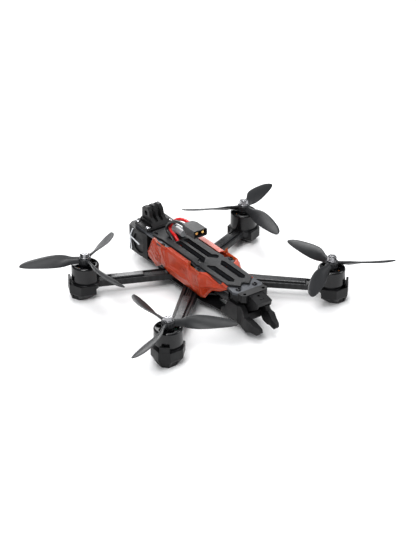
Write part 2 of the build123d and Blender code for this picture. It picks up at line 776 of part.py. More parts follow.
# Nose mount: a beam under the plate's front edge, raised ears ahead of it, and a hollow snout
# that a small camera would sit in.
nose_half = 15.4
nose_rear = nose_y + 5.6
ear_low = 35.5
ear_high = 43.2
ear_back = nose_front - 0.3
ear_front = -83.0
snout_half = 8.4
snout_wall = 1.6
snout_tip = -97.0
with BuildPart() as nose_mount:
    with BuildSketch(Plane.XY.offset(31.5)):
        Polygon(
            (-nose_half, ear_back), (nose_half, ear_back), (nose_half, nose_rear),
            (-nose_half, nose_rear), align=None,
        )
    extrude(amount=top_under - 31.5)
    with BuildSketch(Plane.XY.offset(ear_low)):
        Polygon(
            (-nose_half, ear_back), (nose_half, ear_back), (nose_half, ear_front + 3),
            (nose_half - 3.5, ear_front), (3.5 - nose_half, ear_front),
            (-nose_half, ear_front + 3), align=None,
        )
    extrude(amount=ear_high - ear_low)
    snout = [
        (nose_rear, top_under), (ear_back, top_under), (ear_back, ear_high), (-82.0, ear_high - 0.6),
        (snout_tip, 39.0), (snout_tip + 1.5, 33.0), (-80.0, 23.2), (-73.0, 20.6), (nose_rear, 22.0),
    ]
    hollow = [
        (nose_rear + 1, 36.0), (-78.0, 36.0), (snout_tip - 2, 35.0), (-82.0, 20.0), (nose_rear + 1, 18.0),
    ]
    with BuildSketch(Plane.YZ):
        Polygon(*snout, align=None)
    extrude(amount=snout_half, both=True)
    with BuildSketch(Plane.YZ):
        Polygon(*hollow, align=None)
    extrude(amount=snout_half - snout_wall, both=True, mode=Mode.SUBTRACT)
    with BuildSketch(Plane.XY.offset(20)):
        with Locations(*both_sides([(nose_x, nose_y)])):
            Circle(standoff_r + fit)
    extrude(amount=30, mode=Mode.SUBTRACT)
    with BuildSketch(Plane.XY.offset(30)):
        with Locations(*both_sides([(11.0, -79.2)])):
            Circle(1.6)
    extrude(amount=20, mode=Mode.SUBTRACT)
    with BuildSketch(Plane.YZ):
        with Locations((-82.0, 31.0)):
            Circle(1.1)
    extrude(amount=20, both=True, mode=Mode.SUBTRACT)
save(nose_mount, "nose_mount")

# Front bumper: cheeks on the bottom plate beside the camera bay, and two stepped prongs.
bumper_rear = -49.0
prong_out = 15.6
prong_in = 10.2
with BuildPart() as front_bumper:
    for side in left_right:
        plan = [
            (side * 10.6, bumper_rear), (side * 17.6, bumper_rear), (side * 17.8, -76.0),
            (side * prong_out, -79.0), (side * prong_out, -92.5), (side * 11.6, -105.0),
            (side * 7.8, -105.0), (side * 7.8, -97.0), (side * prong_in, -88.0), (side * prong_in, -72.4),
        ]
        with BuildSketch(Plane.XY.offset(5)):
            Polygon(*plan, align=None)
        extrude(amount=30)
    profile = [
        (bumper_rear, arm_under), (bumper_rear, 17.0), (-56.0, 21.0), (-61.0, 30.5),
        (-78.0, 31.2), (-83.0, 27.0), (-86.0, 21.0), (-92.0, 20.4), (-97.0, 17.5), (-104.0, 15.5),
        (-105.0, 12.0), (-101.5, 8.2), (-94.5, 9.0), (-87.5, 6.2), (-81.0, 7.6), (-77.0, arm_under),
    ]
    with BuildSketch(Plane.YZ):
        Polygon(*profile, align=None)
    extrude(amount=30, both=True, mode=Mode.INTERSECT)
    with BuildSketch(Plane.XY.offset(arm_under)):
        with Locations((0, -75.4)):
            Rectangle(2 * prong_in + 1, 5.2)
    extrude(amount=7.0)
    with BuildSketch(Plane.XY.offset(arm_under)):
        with Locations(*both_sides([(nose_x, nose_y)])):
            Circle(standoff_r + fit)
    extrude(amount=30, mode=Mode.SUBTRACT)
save(front_bumper, "front_bumper")

# Side guards: a bowed translucent wall from arm height to the battery pad, on both sides.
guard_wall = 1.6
guard_bow = [
    (77.0, 20.9), (64.0, 22.4), (56.5, 24.5), (43.0, 24.9), (17.0, 25.4), (-3.0, 25.6), (-23.0, 25.9),
    (-29.0, 22.4), (-48.0, 18.9), (-57.2, 17.8),
]
guard_side = [              # Y, and Z tied to the arms' top or to the top plate's face
    (64.5, top_face + 2.2), (70.0, top_face - 8.2), (77.0, arm_top + 4.3), (77.0, arm_top - 1.0),
    (59.0, arm_top - 3.7), (52.0, arm_top - 0.1), (46.0, arm_top + 4.0), (34.0, arm_top + 0.5),
    (-15.0, arm_top + 0.5), (-27.5, arm_top), (-32.0, arm_top + 7.0), (-37.0, top_face - 12.5),
    (-47.0, top_face - 9.2), (-57.0, top_face - 2.8), (-57.0, top_face - 0.9), (-50.0, top_face),
    (-44.0, top_face - 2.6), (-30.0, top_face + 0.5), (-21.0, top_face + 2.3), (-20.0, top_face + 1.5),
    (-4.4, top_face + 1.8), (-3.0, top_face + 7.2), (-1.6, top_face + 2.0), (39.0, top_face + 2.5),
    (44.0, top_face + 2.0),
]
flange_depth = 1.6
flange_top = top_face + 1.2
front_flange_top = top_face - 2.4
lug_r = 4.6
lug_low = mid_top + 4.3
lug_height = 7.0
for side, label in ((-1, "side_guard_left"), (1, "side_guard_right")):
    outer = [(side * x, y) for y, x in guard_bow]
    inner = [(side * (x - guard_wall), y) for y, x in reversed(guard_bow)]
    with BuildPart() as guard:
        with BuildSketch(Plane.XY.offset(bottom_under)):
            Polygon(*outer, *inner, align=None)
        extrude(amount=top_face + 10 - bottom_under)
        with BuildSketch(Plane.YZ):
            Polygon(*guard_side, align=None)
        extrude(amount=30, both=True, mode=Mode.INTERSECT)
        rear_flange = [(18.4, 38), (18.4, 2), (25.3, 2), (24.9, 38)]
        with BuildSketch(Plane.XY.offset(flange_top - flange_depth)):
            Polygon(*[(side * x, y) for x, y in rear_flange], align=None)
        extrude(amount=flange_depth)
        front_flange = [(17.4, -22), (16.9, -45), (18.0, -45), (21.9, -29), (25.0, -23), (25.0, -22)]
        with BuildSketch(Plane.XY.offset(front_flange_top - flange_depth)):
            Polygon(*[(side * x, y) for x, y in front_flange], align=None)
        extrude(amount=flange_depth)
        for y in (tab_rear_y, tab_front_y):
            with BuildSketch(Plane.XY.offset(lug_low)):
                with Locations((side * tab_x, y)):
                    Circle(lug_r)
                with Locations((side * (tab_x + 2.2), y)):
                    Rectangle(4.4, lug_r * 1.6)
                with Locations((side * tab_x, y)):
                    Circle(standoff_r + fit, mode=Mode.SUBTRACT)
            extrude(amount=lug_height)
    save(guard, label)

# ---------------------------------------------------------------- battery lead

plug_front = 10.0           # Y of the socket face
plug_z = 66.6
plug_width = 16.0
plug_height = 8.1
plug_body = 16.0
plug_tail = 7.0
pin_spacing = 7.2
pin_r = 1.75
wire_r = 1.75
pin_depth = 9.0
plug_rear = plug_front + plug_body + plug_tail
with BuildPart() as power_plug:
    with BuildSketch(Plane.XZ.offset(-plug_front)):
        with Locations((0, plug_z)):
            Rectangle(plug_width, plug_height)
    extrude(amount=-plug_body)
    chamfer(power_plug.edges().filter_by(Axis.Y).sort_by(Axis.X)[-2:], 1.2)
    with BuildSketch(Plane.XZ.offset(-plug_front - plug_body)):
        with Locations((0, plug_z)):
            Rectangle(plug_width - 1.2, plug_height - 0.6)
    with BuildSketch(Plane.XZ.offset(-plug_rear)):
        with Locations((0, plug_z)):
            Rectangle(plug_width - 4.2, plug_height - 2.6)
    loft()
    with BuildSketch(Plane.XZ.offset(-plug_front)):
        with Locations((0, plug_z)):
            Rectangle(plug_width - 2.4, plug_height - 2.2)
    extrude(amount=-pin_depth, mode=Mode.SUBTRACT)
    with BuildSketch(Plane.XZ.offset(-plug_rear)):
        with Locations((-pin_spacing / 2, plug_z), (pin_spacing / 2, plug_z)):
            Circle(wire_r)
    extrude(amount=4.0, mode=Mode.SUBTRACT)
save(power_plug, "power_plug")

with BuildPart() as plug_pins:
    with BuildSketch(Plane.XZ.offset(-plug_front - 1.2)):
        with Locations((-pin_spacing / 2, plug_z), (pin_spacing / 2, plug_z)):
            Circle(pin_r)
    extrude(amount=1.2 - pin_depth)
save(plug_pins, "plug_pins")

wire_in = plug_rear - 4.0   # the wires end inside the plug's tail
wire_out = plug_rear + 2.0  # and run straight this far
wire_routes = {
    "battery_lead_red": [
        (pin_spacing / 2, wire_in, plug_z), (pin_spacing / 2, wire_out, plug_z), (3.2, 44.5, 66.4),
        (2.6, 53.0, 63.4), (1.2, 60.6, 57.4), (-0.6, 64.6, 49.8), (-1.2, 60.4, 46.2),
        (-1.2, 54.6, 46.0), (-1.0, 49.6, 42.4), (-0.8, 46.2, 36.4), (-1.6, 41.6, 30.6),
        (-3.0, 35.6, 26.9), (-3.0, 30.6, 26.2),
    ],
    "battery_lead_black": [
        (-pin_spacing / 2, wire_in, plug_z), (-pin_spacing / 2, wire_out, plug_z), (-4.0, 43.5, 66.2),
        (-4.4, 51.6, 63.4), (-4.8, 59.0, 58.0), (-5.2, 63.2, 50.6), (-5.2, 59.0, 47.0),
        (-5.0, 54.2, 45.0), (-5.0, 50.0, 40.0), (-5.4, 46.4, 33.8), (-7.0, 41.0, 28.6),
        (-8.0, 34.6, 26.2), (-8.0, 30.4, 26.0),
    ],
}


def corner_radii(points):
    # Each bend takes 0.45 of its shorter run.
    radii = []
    for before, here, after in zip(points, points[1:], points[2:]):
        first = Vector(*here) - Vector(*before)
        second = Vector(*after) - Vector(*here)
        half_turn = radians(first.get_angle(second)) / 2
        radii.append(0.45 * min(first.length, second.length) / tan(half_turn))
    return radii


for label, points in wire_routes.items():
    radii = corner_radii(points)
    with BuildLine() as route:
        FilletPolyline(*points, radius=radii)
    first_run = Vector(*points[1]) - Vector(*points[0])
    with BuildPart() as wire:
        with BuildSketch(Plane(origin=points[0], z_dir=first_run)):
            Circle(wire_r)
        sweep(path=route.wires()[0])
    length = sum(edge.length for edge in route.edges())
    print(label, "radii", [round(r, 1) for r in radii], "length", round(length, 1))
    print("  volume over section times length", round(wire.part.volume / (pi * wire_r ** 2 * length), 4))
    save(wire, label)

# Smoothing capacitor, lying between the battery wires on the pad.
capacitor_r = 3.9
capacitor_length = 13.0
capacitor_x = 5.2
with BuildPart() as capacitor:
    with BuildSketch(Plane.XZ.offset(-47.0)):
        with Locations((capacitor_x, pad_face + capacitor_r + 0.1)):
            Circle(capacitor_r)
    extrude(amount=-capacitor_length)
save(capacitor, "capacitor")
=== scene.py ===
import math

import bmesh
import bpy
from mathutils import Matrix, Vector


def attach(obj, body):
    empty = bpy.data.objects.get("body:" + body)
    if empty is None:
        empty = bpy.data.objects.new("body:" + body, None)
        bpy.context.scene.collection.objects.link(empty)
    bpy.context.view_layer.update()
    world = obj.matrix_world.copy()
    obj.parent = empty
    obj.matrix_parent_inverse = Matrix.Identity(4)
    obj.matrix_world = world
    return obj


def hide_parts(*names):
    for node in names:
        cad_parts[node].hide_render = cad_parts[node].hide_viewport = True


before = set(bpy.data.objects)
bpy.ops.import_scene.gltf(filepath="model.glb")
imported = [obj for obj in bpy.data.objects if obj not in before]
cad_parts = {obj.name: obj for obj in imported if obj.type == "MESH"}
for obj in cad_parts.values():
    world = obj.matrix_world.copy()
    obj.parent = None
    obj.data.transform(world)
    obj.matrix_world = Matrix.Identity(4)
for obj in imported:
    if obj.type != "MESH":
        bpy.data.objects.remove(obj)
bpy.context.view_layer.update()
mm = 0.001
cornerNames = ["front_left", "front_right", "rear_left", "rear_right"]
motorX, frontMotorY, rearMotorY = 0.098, -0.0767, 0.0707


def motorCentre(corner):
    side = -1 if corner.endswith("left") else 1
    return Vector((side * motorX, frontMotorY if corner.startswith("front") else rearMotorY, 0))


camera = {"azimuth": -35.3, "elevation": 29.8, "distance": 1.694, "lens": 112, "aim": (0.002, 0, 0.026)}
lights = {
    "key": {"at": (-0.9, -0.6, 1.3), "size": 0.7, "power": 17},
    "fill": {"at": (1.3, -0.8, 0.9), "size": 0.7, "power": 9},
    "back": {"at": (0.4, 1.3, 0.9), "size": 0.9, "power": 14},
    "top": {"at": (0.1, 0.1, 1.6), "size": 0.9, "power": 11},
}
studio = {
    "worldColor": (0.95, 0.97, 1, 1), "worldStrength": 0.42, "gamma": 0.88,
    "floorHalf": 9, "floorGrey": 0.93,
}


def direction(azimuth, elevation):
    a, e = math.radians(azimuth), math.radians(elevation)
    return Vector((math.sin(a) * math.cos(e), -math.cos(a) * math.cos(e), math.sin(e)))


def makeCamera():
    data = bpy.data.cameras.new("studioCamera")
    data.lens = camera["lens"]
    data.sensor_width = 36
    obj = bpy.data.objects.new("studioCamera", data)
    back = direction(camera["azimuth"], camera["elevation"])
    obj.location = Vector(camera["aim"]) + back * camera["distance"]
    obj.rotation_euler = (-back).to_track_quat("-Z", "Y").to_euler()
    data.clip_start, data.clip_end = 0.01, 50
    bpy.context.scene.collection.objects.link(obj)
    bpy.context.scene.camera = obj


def makeLights():
    for name, spec in lights.items():
        data = bpy.data.lights.new(name, "AREA")
        data.energy = spec["power"]
        data.size = spec["size"]
        obj = bpy.data.objects.new(name, data)
        obj.location = spec["at"]
        obj.rotation_euler = (-Vector(spec["at"])).to_track_quat("-Z", "Y").to_euler()
        bpy.context.scene.collection.objects.link(obj)
    world = bpy.data.worlds.new("studio")
    world.use_nodes = True
    background = world.node_tree.nodes["Background"]
    background.inputs["Color"].default_value = studio["worldColor"]
    background.inputs["Strength"].default_value = studio["worldStrength"]
    bpy.context.scene.world = world
    bpy.context.scene.view_settings.view_transform = "Standard"
    bpy.context.scene.view_settings.gamma = studio["gamma"]


def makeFloor():
    mesh = bpy.data.meshes.new("studioFloor")
    half, grey = studio["floorHalf"], studio["floorGrey"]
    corners = [(-half, -half, 0), (half, -half, 0), (half, half, 0), (-half, half, 0)]
    mesh.from_pydata(corners, [], [(0, 1, 2, 3)])
    obj = bpy.data.objects.new("studioFloor", mesh)
    bpy.context.scene.collection.objects.link(obj)
    mat = bpy.data.materials.new("studioFloor")
    mat.use_nodes = True
    shader = mat.node_tree.nodes["Principled BSDF"]
    shader.inputs["Base Color"].default_value = (grey, grey, grey, 1)
    shader.inputs["Roughness"].default_value = 0.7
    mesh.materials.append(mat)


makeCamera()
makeLights()
makeFloor()
print("camera, lights and floor")


def newMaterial(name, color, roughness, **sockets):
    mat = bpy.data.materials.new(name)
    mat.use_nodes = True
    shader = mat.node_tree.nodes["Principled BSDF"]
    shader.inputs["Base Color"].default_value = (*color, 1)
    shader.inputs["Roughness"].default_value = roughness
    for socket, value in sockets.items():
        shader.inputs[socket.replace("_", " ")].default_value = value
    return mat


def node(mat, kind, **values):
    # New node; values are input names with _ for a space, or node properties.
    made = mat.node_tree.nodes.new(kind)
    for key, value in values.items():
        if hasattr(made, key):
            setattr(made, key, value)
        else:
            made.inputs[key.replace("_", " ")].default_value = value
    return made


def wire(mat, start, end):
    mat.node_tree.links.new(start, end)


def shaderOf(mat):
    return mat.node_tree.nodes["Principled BSDF"]


def objectPoint(mat, scale=(1, 1, 1), turn=(0, 0, 0)):
    coordinate = node(mat, "ShaderNodeTexCoord")
    mapping = node(mat, "ShaderNodeMapping")
    mapping.inputs["Scale"].default_value = scale
    mapping.inputs["Rotation"].default_value = turn
    wire(mat, coordinate.outputs["Object"], mapping.inputs["Vector"])
    return mapping.outputs["Vector"]


def addBump(mat, height, strength, distance):
    bump = node(mat, "ShaderNodeBump", Strength=strength, Distance=distance)
    wire(mat, height, bump.inputs["Height"])
    wire(mat, bump.outputs["Normal"], shaderOf(mat).inputs["Normal"])
    return bump


def mixColors(mat, factor, first, second):
    mix = node(mat, "ShaderNodeMix", data_type="RGBA")
    mix.inputs[6].default_value = (*first, 1)
    mix.inputs[7].default_value = (*second, 1)
    wire(mat, factor, mix.inputs[0])
    return mix.outputs[2]


def remap(mat, value, low, high, newLow, newHigh):
    made = node(mat, "ShaderNodeMapRange")
    made.inputs[1].default_value = low
    made.inputs[2].default_value = high
    made.inputs[3].default_value = newLow
    made.inputs[4].default_value = newHigh
    wire(mat, value, made.inputs[0])
    return made.outputs[0]


def math2(mat, operation, first, second):
    made = node(mat, "ShaderNodeMath", operation=operation)
    for slot, value in enumerate((first, second)):
        if isinstance(value, (int, float)):
            made.inputs[slot].default_value = value
        else:
            wire(mat, value, made.inputs[slot])
    return made.outputs[0]


def grain(mat, colors, scale, roughness, bump):
    # Colour and roughness that wander a little, and a fine surface grain.
    point = objectPoint(mat)
    noise = node(mat, "ShaderNodeTexNoise", Scale=scale, Detail=4.0, Roughness=0.6)
    wire(mat, point, noise.inputs["Vector"])
    wire(mat, mixColors(mat, noise.outputs["Fac"], *colors), shaderOf(mat).inputs["Base Color"])
    wire(mat, remap(mat, noise.outputs["Fac"], 0.3, 0.7, *roughness), shaderOf(mat).inputs["Roughness"])
    fine = node(mat, "ShaderNodeTexNoise", Scale=scale * 6, Detail=2.0)
    wire(mat, point, fine.inputs["Vector"])
    addBump(mat, fine.outputs["Fac"], *bump)
    return mat


def carbonWeave(name, turn, towWidth=0.0016):
    # Twill: each cell shows the warp or the weft tow, stepping one cell a row.
    mat = newMaterial(name, (0.01, 0.01, 0.011), 0.3, Specular_IOR_Level=0.4)
    point = objectPoint(mat, (1 / towWidth,) * 3, (0, 0, turn))
    split = node(mat, "ShaderNodeSeparateXYZ")
    wire(mat, point, split.inputs[0])
    across = math2(mat, "FLOOR", split.outputs["X"], 0)
    along = math2(mat, "FLOOR", split.outputs["Y"], 0)
    cell = math2(mat, "FLOORED_MODULO", math2(mat, "ADD", across, along), 4)
    warp = math2(mat, "LESS_THAN", cell, 1.5)
    wire(mat, mixColors(mat, warp, (0.007, 0.007, 0.0078), (0.0125, 0.0128, 0.0142)),
         shaderOf(mat).inputs["Base Color"])
    wire(mat, remap(mat, warp, 0, 1, 0.4, 0.32), shaderOf(mat).inputs["Roughness"])
    acrossIn = math2(mat, "PINGPONG", split.outputs["X"], 0.5)
    addBump(mat, math2(mat, "ADD", acrossIn, warp), 0.05, 0.00003)
    return mat


def printedRubber(name, colors, roughness, **sockets):
    # Soft printed parts: fine level layer lines.
    mat = newMaterial(name, colors[0], roughness, **sockets)
    point = objectPoint(mat)
    layers = node(mat, "ShaderNodeTexWave", Scale=520.0, Distortion=0.6, Detail=1.0, bands_direction="Z")
    wire(mat, point, layers.inputs["Vector"])
    noise = node(mat, "ShaderNodeTexNoise", Scale=90.0, Detail=3.0)
    wire(mat, point, noise.inputs["Vector"])
    wire(mat, mixColors(mat, noise.outputs["Fac"], *colors), shaderOf(mat).inputs["Base Color"])
    wire(mat, remap(mat, noise.outputs["Fac"], 0.3, 0.7, roughness - 0.08, roughness + 0.1),
         shaderOf(mat).inputs["Roughness"])
    addBump(mat, layers.outputs["Fac"], 0.22, 0.00008)
    return mat


def circuitBoard(name):
    mat = newMaterial(name, (0.01, 0.04, 0.03), 0.4, Coat_Weight=0.4)
    point = objectPoint(mat)
    traces = node(mat, "ShaderNodeTexVoronoi", Scale=420.0, distance="CHEBYCHEV")
    wire(mat, point, traces.inputs["Vector"])
    pads = math2(mat, "LESS_THAN", traces.outputs["Distance"], 0.16)
    wire(mat, mixColors(mat, pads, (0.008, 0.03, 0.022), (0.5, 0.42, 0.2)),
         shaderOf(mat).inputs["Base Color"])
    wire(mat, remap(mat, pads, 0, 1, 0.45, 0.25), shaderOf(mat).inputs["Roughness"])
    return mat


def copperWinding(name):
    mat = newMaterial(name, (0.5, 0.2, 0.08), 0.3, Metallic=0.8)
    point = objectPoint(mat)
    turns = node(mat, "ShaderNodeTexWave", Scale=900.0, bands_direction="Z")
    wire(mat, point, turns.inputs["Vector"])
    patches = node(mat, "ShaderNodeTexNoise", Scale=160.0)
    wire(mat, point, patches.inputs["Vector"])
    wire(mat, mixColors(mat, patches.outputs["Fac"], (0.55, 0.17, 0.05), (0.36, 0.2, 0.07)),
         shaderOf(mat).inputs["Base Color"])
    addBump(mat, turns.outputs["Fac"], 0.6, 0.0002)
    return mat


carbonArm = {
    corner: carbonWeave(f"carbonArm_{corner}", math.radians(turn))
    for corner, turn in zip(cornerNames, (-43.6, 43.6, 23.0, -23.0))
}
carbonPlate = carbonWeave("carbonPlate", 0.0)
blackRubber = printedRubber("blackRubber", ((0.0045, 0.0045, 0.005), (0.0095, 0.0095, 0.0105)), 0.42,
                            Specular_IOR_Level=0.38)
orangeRubber = printedRubber(
    "orangeRubber", ((0.4, 0.038, 0.009), (0.56, 0.07, 0.018)), 0.34,
    Subsurface_Weight=0.3, Subsurface_Radius=(0.003, 0.001, 0.0004), Subsurface_Scale=1.0,
    Transmission_Weight=0.15, Coat_Weight=0.3, Coat_Roughness=0.2,
)
bladePlastic = grain(newMaterial("bladePlastic", (0.02, 0.02, 0.022), 0.38, Specular_IOR_Level=0.42),
                     ((0.015, 0.0155, 0.017), (0.024, 0.025, 0.027)), 240, (0.33, 0.46), (0.1, 0.00004))
bellPaint = grain(newMaterial("bellPaint", (0.004, 0.004, 0.005), 0.2, Specular_IOR_Level=0.5),
                  ((0.0028, 0.0028, 0.0034), (0.006, 0.006, 0.007)), 180, (0.15, 0.24), (0.03, 0.00002))
baseAlloy = grain(newMaterial("baseAlloy", (0.012, 0.012, 0.014), 0.35, Metallic=0.4),
                  ((0.008, 0.008, 0.0095), (0.02, 0.02, 0.022)), 150, (0.28, 0.42), (0.06, 0.00003))
screwSteel = grain(newMaterial("screwSteel", (0.5, 0.5, 0.51), 0.22, Metallic=1.0),
                   ((0.34, 0.34, 0.35), (0.62, 0.62, 0.63)), 260, (0.16, 0.28), (0.05, 0.00003))
darkSteel = grain(newMaterial("darkSteel", (0.03, 0.03, 0.033), 0.28, Metallic=0.8),
                  ((0.018, 0.018, 0.02), (0.045, 0.045, 0.05)), 260, (0.2, 0.32), (0.05, 0.00003))
nutSteel = grain(newMaterial("nutSteel", (0.3, 0.3, 0.31), 0.22, Metallic=1.0),
                 ((0.2, 0.2, 0.21), (0.42, 0.42, 0.43)), 260, (0.14, 0.26), (0.05, 0.00003))
paleAlloy = grain(newMaterial("paleAlloy", (0.08, 0.085, 0.095), 0.36, Metallic=0.6),
                  ((0.055, 0.058, 0.066), (0.12, 0.125, 0.138)), 120, (0.3, 0.44), (0.06, 0.00003))
padRubber = grain(newMaterial("padRubber", (0.012, 0.012, 0.013), 0.5, Specular_IOR_Level=0.45),
                  ((0.009, 0.009, 0.01), (0.017, 0.0175, 0.019)), 300, (0.42, 0.56), (0.22, 0.00008))
glossyLiner = grain(newMaterial("glossyLiner", (0.01, 0.01, 0.011), 0.24, Specular_IOR_Level=0.6),
                    ((0.007, 0.007, 0.008), (0.014, 0.014, 0.016)), 60, (0.2, 0.3), (0.03, 0.00004))
coverSleeve = grain(newMaterial("coverSleeve", (0.02, 0.021, 0.023), 0.3, Specular_IOR_Level=0.6),
                    ((0.014, 0.0145, 0.016), (0.028, 0.029, 0.032)), 140, (0.24, 0.36), (0.1, 0.00006))
plugNylon = grain(newMaterial("plugNylon", (0.016, 0.016, 0.018), 0.36, Specular_IOR_Level=0.5),
                  ((0.012, 0.0125, 0.014), (0.022, 0.0225, 0.025)), 200, (0.3, 0.42), (0.12, 0.00004))
statorLacquer = grain(newMaterial("statorLacquer", (0.01, 0.09, 0.05), 0.35, Coat_Weight=0.3),
                      ((0.006, 0.06, 0.035), (0.015, 0.13, 0.07)), 200, (0.28, 0.42), (0.08, 0.00004))
magnetNickel = grain(newMaterial("magnetNickel", (0.3, 0.3, 0.31), 0.3, Metallic=0.9),
                     ((0.22, 0.22, 0.23), (0.38, 0.38, 0.39)), 180, (0.24, 0.36), (0.05, 0.00003))
goldPlate = grain(newMaterial("goldPlate", (0.9, 0.62, 0.22), 0.2, Metallic=1.0),
                  ((0.85, 0.55, 0.18), (0.98, 0.72, 0.3)), 300, (0.14, 0.26), (0.04, 0.00003))
redSilicone = grain(newMaterial("redSilicone", (0.7, 0.01, 0.012), 0.32, Coat_Weight=0.25),
                    ((0.62, 0.008, 0.01), (0.8, 0.016, 0.016)), 200, (0.26, 0.38), (0.06, 0.00004))
blackSilicone = grain(newMaterial("blackSilicone", (0.012, 0.012, 0.013), 0.35, Coat_Weight=0.2),
                      ((0.009, 0.009, 0.01), (0.02, 0.02, 0.021)), 200, (0.28, 0.42), (0.06, 0.00004))
capSleeve = grain(newMaterial("capSleeve", (0.3, 0.31, 0.32), 0.25, Coat_Weight=0.4),
                  ((0.24, 0.25, 0.26), (0.38, 0.39, 0.4)), 150, (0.2, 0.3), (0.05, 0.00004))
# Receiver aerial tubes at the tail: their white is a painted highlight, standing in for glints on the tail's
# chamfered edges.
paintedHighlightWhite = grain(newMaterial("paintedHighlightWhite", (0.75, 0.77, 0.8), 0.35),
                  ((0.68, 0.7, 0.74), (0.82, 0.84, 0.86)), 200, (0.3, 0.42), (0.05, 0.00004))
bearingSteel = grain(newMaterial("bearingSteel", (0.5, 0.5, 0.52), 0.25, Metallic=1.0),
                     ((0.42, 0.42, 0.44), (0.58, 0.58, 0.6)), 200, (0.2, 0.3), (0.04, 0.00003))
boardGreen = circuitBoard("boardGreen")
winding = copperWinding("winding")
print("materials")


def link(obj):
    bpy.context.scene.collection.objects.link(obj)
    return obj


def paint(obj, material):
    obj.data.materials.clear()
    obj.data.materials.append(material)


def dress(cadNode, material):
    # A CAD node that keeps its own shape.
    obj = bpy.data.objects[cadNode]
    for slot in obj.material_slots:
        slot.material = material
    if not obj.material_slots:
        obj.data.materials.append(material)


def smoothShade(mesh, angle=38):
    mesh.shade_smooth()
    mesh.set_sharp_from_angle(angle=math.radians(angle))


def finishPiece(obj, body, material, replaced=()):
    paint(obj, material)
    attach(obj, body)
    if replaced:
        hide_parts(*replaced)
    return obj


def cadCopy(name, cadNodes, bevel):
    # Copies nodes into one welded mesh with softened edges.
    whole = bmesh.new()
    for cadNode in cadNodes:
        whole.from_mesh(bpy.data.objects[cadNode].data)
    bmesh.ops.remove_doubles(whole, verts=whole.verts, dist=1e-6)
    bmesh.ops.dissolve_limit(whole, angle_limit=math.radians(1.0), verts=whole.verts, edges=whole.edges,
                             delimit={"NORMAL"})
    mesh = bpy.data.meshes.new(name)
    whole.to_mesh(mesh)
    whole.free()
    smoothShade(mesh)
    obj = link(bpy.data.objects.new(name, mesh))
    if bevel:
        soften = obj.modifiers.new("softEdges", "BEVEL")
        soften.width = bevel
        soften.segments = 2
        soften.limit_method = "ANGLE"
        soften.angle_limit = math.radians(32)
        soften.harden_normals = False
        soften.use_clamp_overlap = True
        weighted = obj.modifiers.new("evenNormals", "WEIGHTED_NORMAL")
        weighted.keep_sharp = True
    return obj


def meshObject(name, points, faces, smooth=38):
    mesh = bpy.data.meshes.new(name)
    mesh.from_pydata([tuple(p) for p in points], [], faces)
    mesh.update()
    smoothShade(mesh, smooth)
    return link(bpy.data.objects.new(name, mesh))


def faceOutward(mesh, merge=False):
    # Turns every face outwards, after welding its doubles where asked.
    work = bmesh.new()
    work.from_mesh(mesh)
    if merge:
        bmesh.ops.remove_doubles(work, verts=work.verts, dist=1e-6)
    bmesh.ops.recalc_face_normals(work, faces=work.faces)
    work.to_mesh(mesh)
    work.free()


def bakedMesh(obj):
    bpy.context.view_layer.update()
    return bpy.data.meshes.new_from_object(obj.evaluated_get(bpy.context.evaluated_depsgraph_get()))


def turned(points, steps, centre):
    # Vertices and faces of a closed profile of (radius, height) turned about a vertical axis.
    verts, faces = [], []
    for radius, height in points:
        for k in range(steps):
            a = 2 * math.pi * k / steps
            verts.append((centre[0] + radius * math.cos(a), centre[1] + radius * math.sin(a), height))
    for row in range(len(points) - 1):
        for k in range(steps):
            n = (k + 1) % steps
            faces.append((row * steps + k, row * steps + n, (row + 1) * steps + n, (row + 1) * steps + k))
    return verts, faces


def newTree(name, inputs, takesGeometry=False):
    # inputs: label -> (socket kind, value)
    tree = bpy.data.node_groups.new(name, "GeometryNodeTree")
    if takesGeometry:
        tree.interface.new_socket("Geometry", in_out="INPUT", socket_type="NodeSocketGeometry")
    for label, (kind, value) in inputs.items():
        socket = tree.interface.new_socket(label, in_out="INPUT", socket_type=f"NodeSocket{kind}")
        if value is not None:
            socket.default_value = value
    tree.interface.new_socket("Geometry", in_out="OUTPUT", socket_type="NodeSocketGeometry")
    return tree, tree.nodes.new("NodeGroupInput").outputs


def step(tree, kind, links=None, **properties):
    # New tree node; links are input name or number -> value or output socket.
    made = tree.nodes.new(kind)
    for key, value in properties.items():
        setattr(made, key, value)
    for slot, value in (links or {}).items():
        if isinstance(value, bpy.types.NodeSocket):
            tree.links.new(value, made.inputs[slot])
        else:
            made.inputs[slot].default_value = value
    return made


def closeTree(tree, geometry, material):
    whole = step(tree, "GeometryNodeRealizeInstances", {"Geometry": geometry})
    painted = step(tree, "GeometryNodeSetMaterial", {"Geometry": whole.outputs[0], "Material": material})
    step(tree, "NodeGroupOutput", {0: painted.outputs[0]})


def ringPoints(tree, count, radius):
    # Points on a level circle, and the turn that points X away from its centre.
    ring = step(tree, "GeometryNodeMeshCircle", {"Vertices": count, "Radius": radius})
    outward = step(tree, "FunctionNodeAlignRotationToVector",
                   {"Vector": step(tree, "GeometryNodeInputPosition").outputs[0]}, axis="X", pivot_axis="Z")
    return ring.outputs[0], outward.outputs[0]


def makeRingOfBlocks():
    tree, given = newTree("ringOfBlocks", {
        "Count": ("Int", 12), "Radius": ("Float", 0.01), "Size": ("Vector", (0.001, 0.001, 0.001)),
        "Centre": ("Vector", (0, 0, 0)), "Start": ("Vector", (0, 0, 0)), "Material": ("Material", None),
    })
    points, outward = ringPoints(tree, given["Count"], given["Radius"])
    block = step(tree, "GeometryNodeMeshCube", {"Size": given["Size"]})
    placed = step(tree, "GeometryNodeInstanceOnPoints",
                  {"Points": points, "Instance": block.outputs[0], "Rotation": outward})
    moved = step(tree, "GeometryNodeTransform",
                 {"Geometry": placed.outputs[0], "Translation": given["Centre"], "Rotation": given["Start"]})
    closeTree(tree, moved.outputs[0], given["Material"])
    return tree


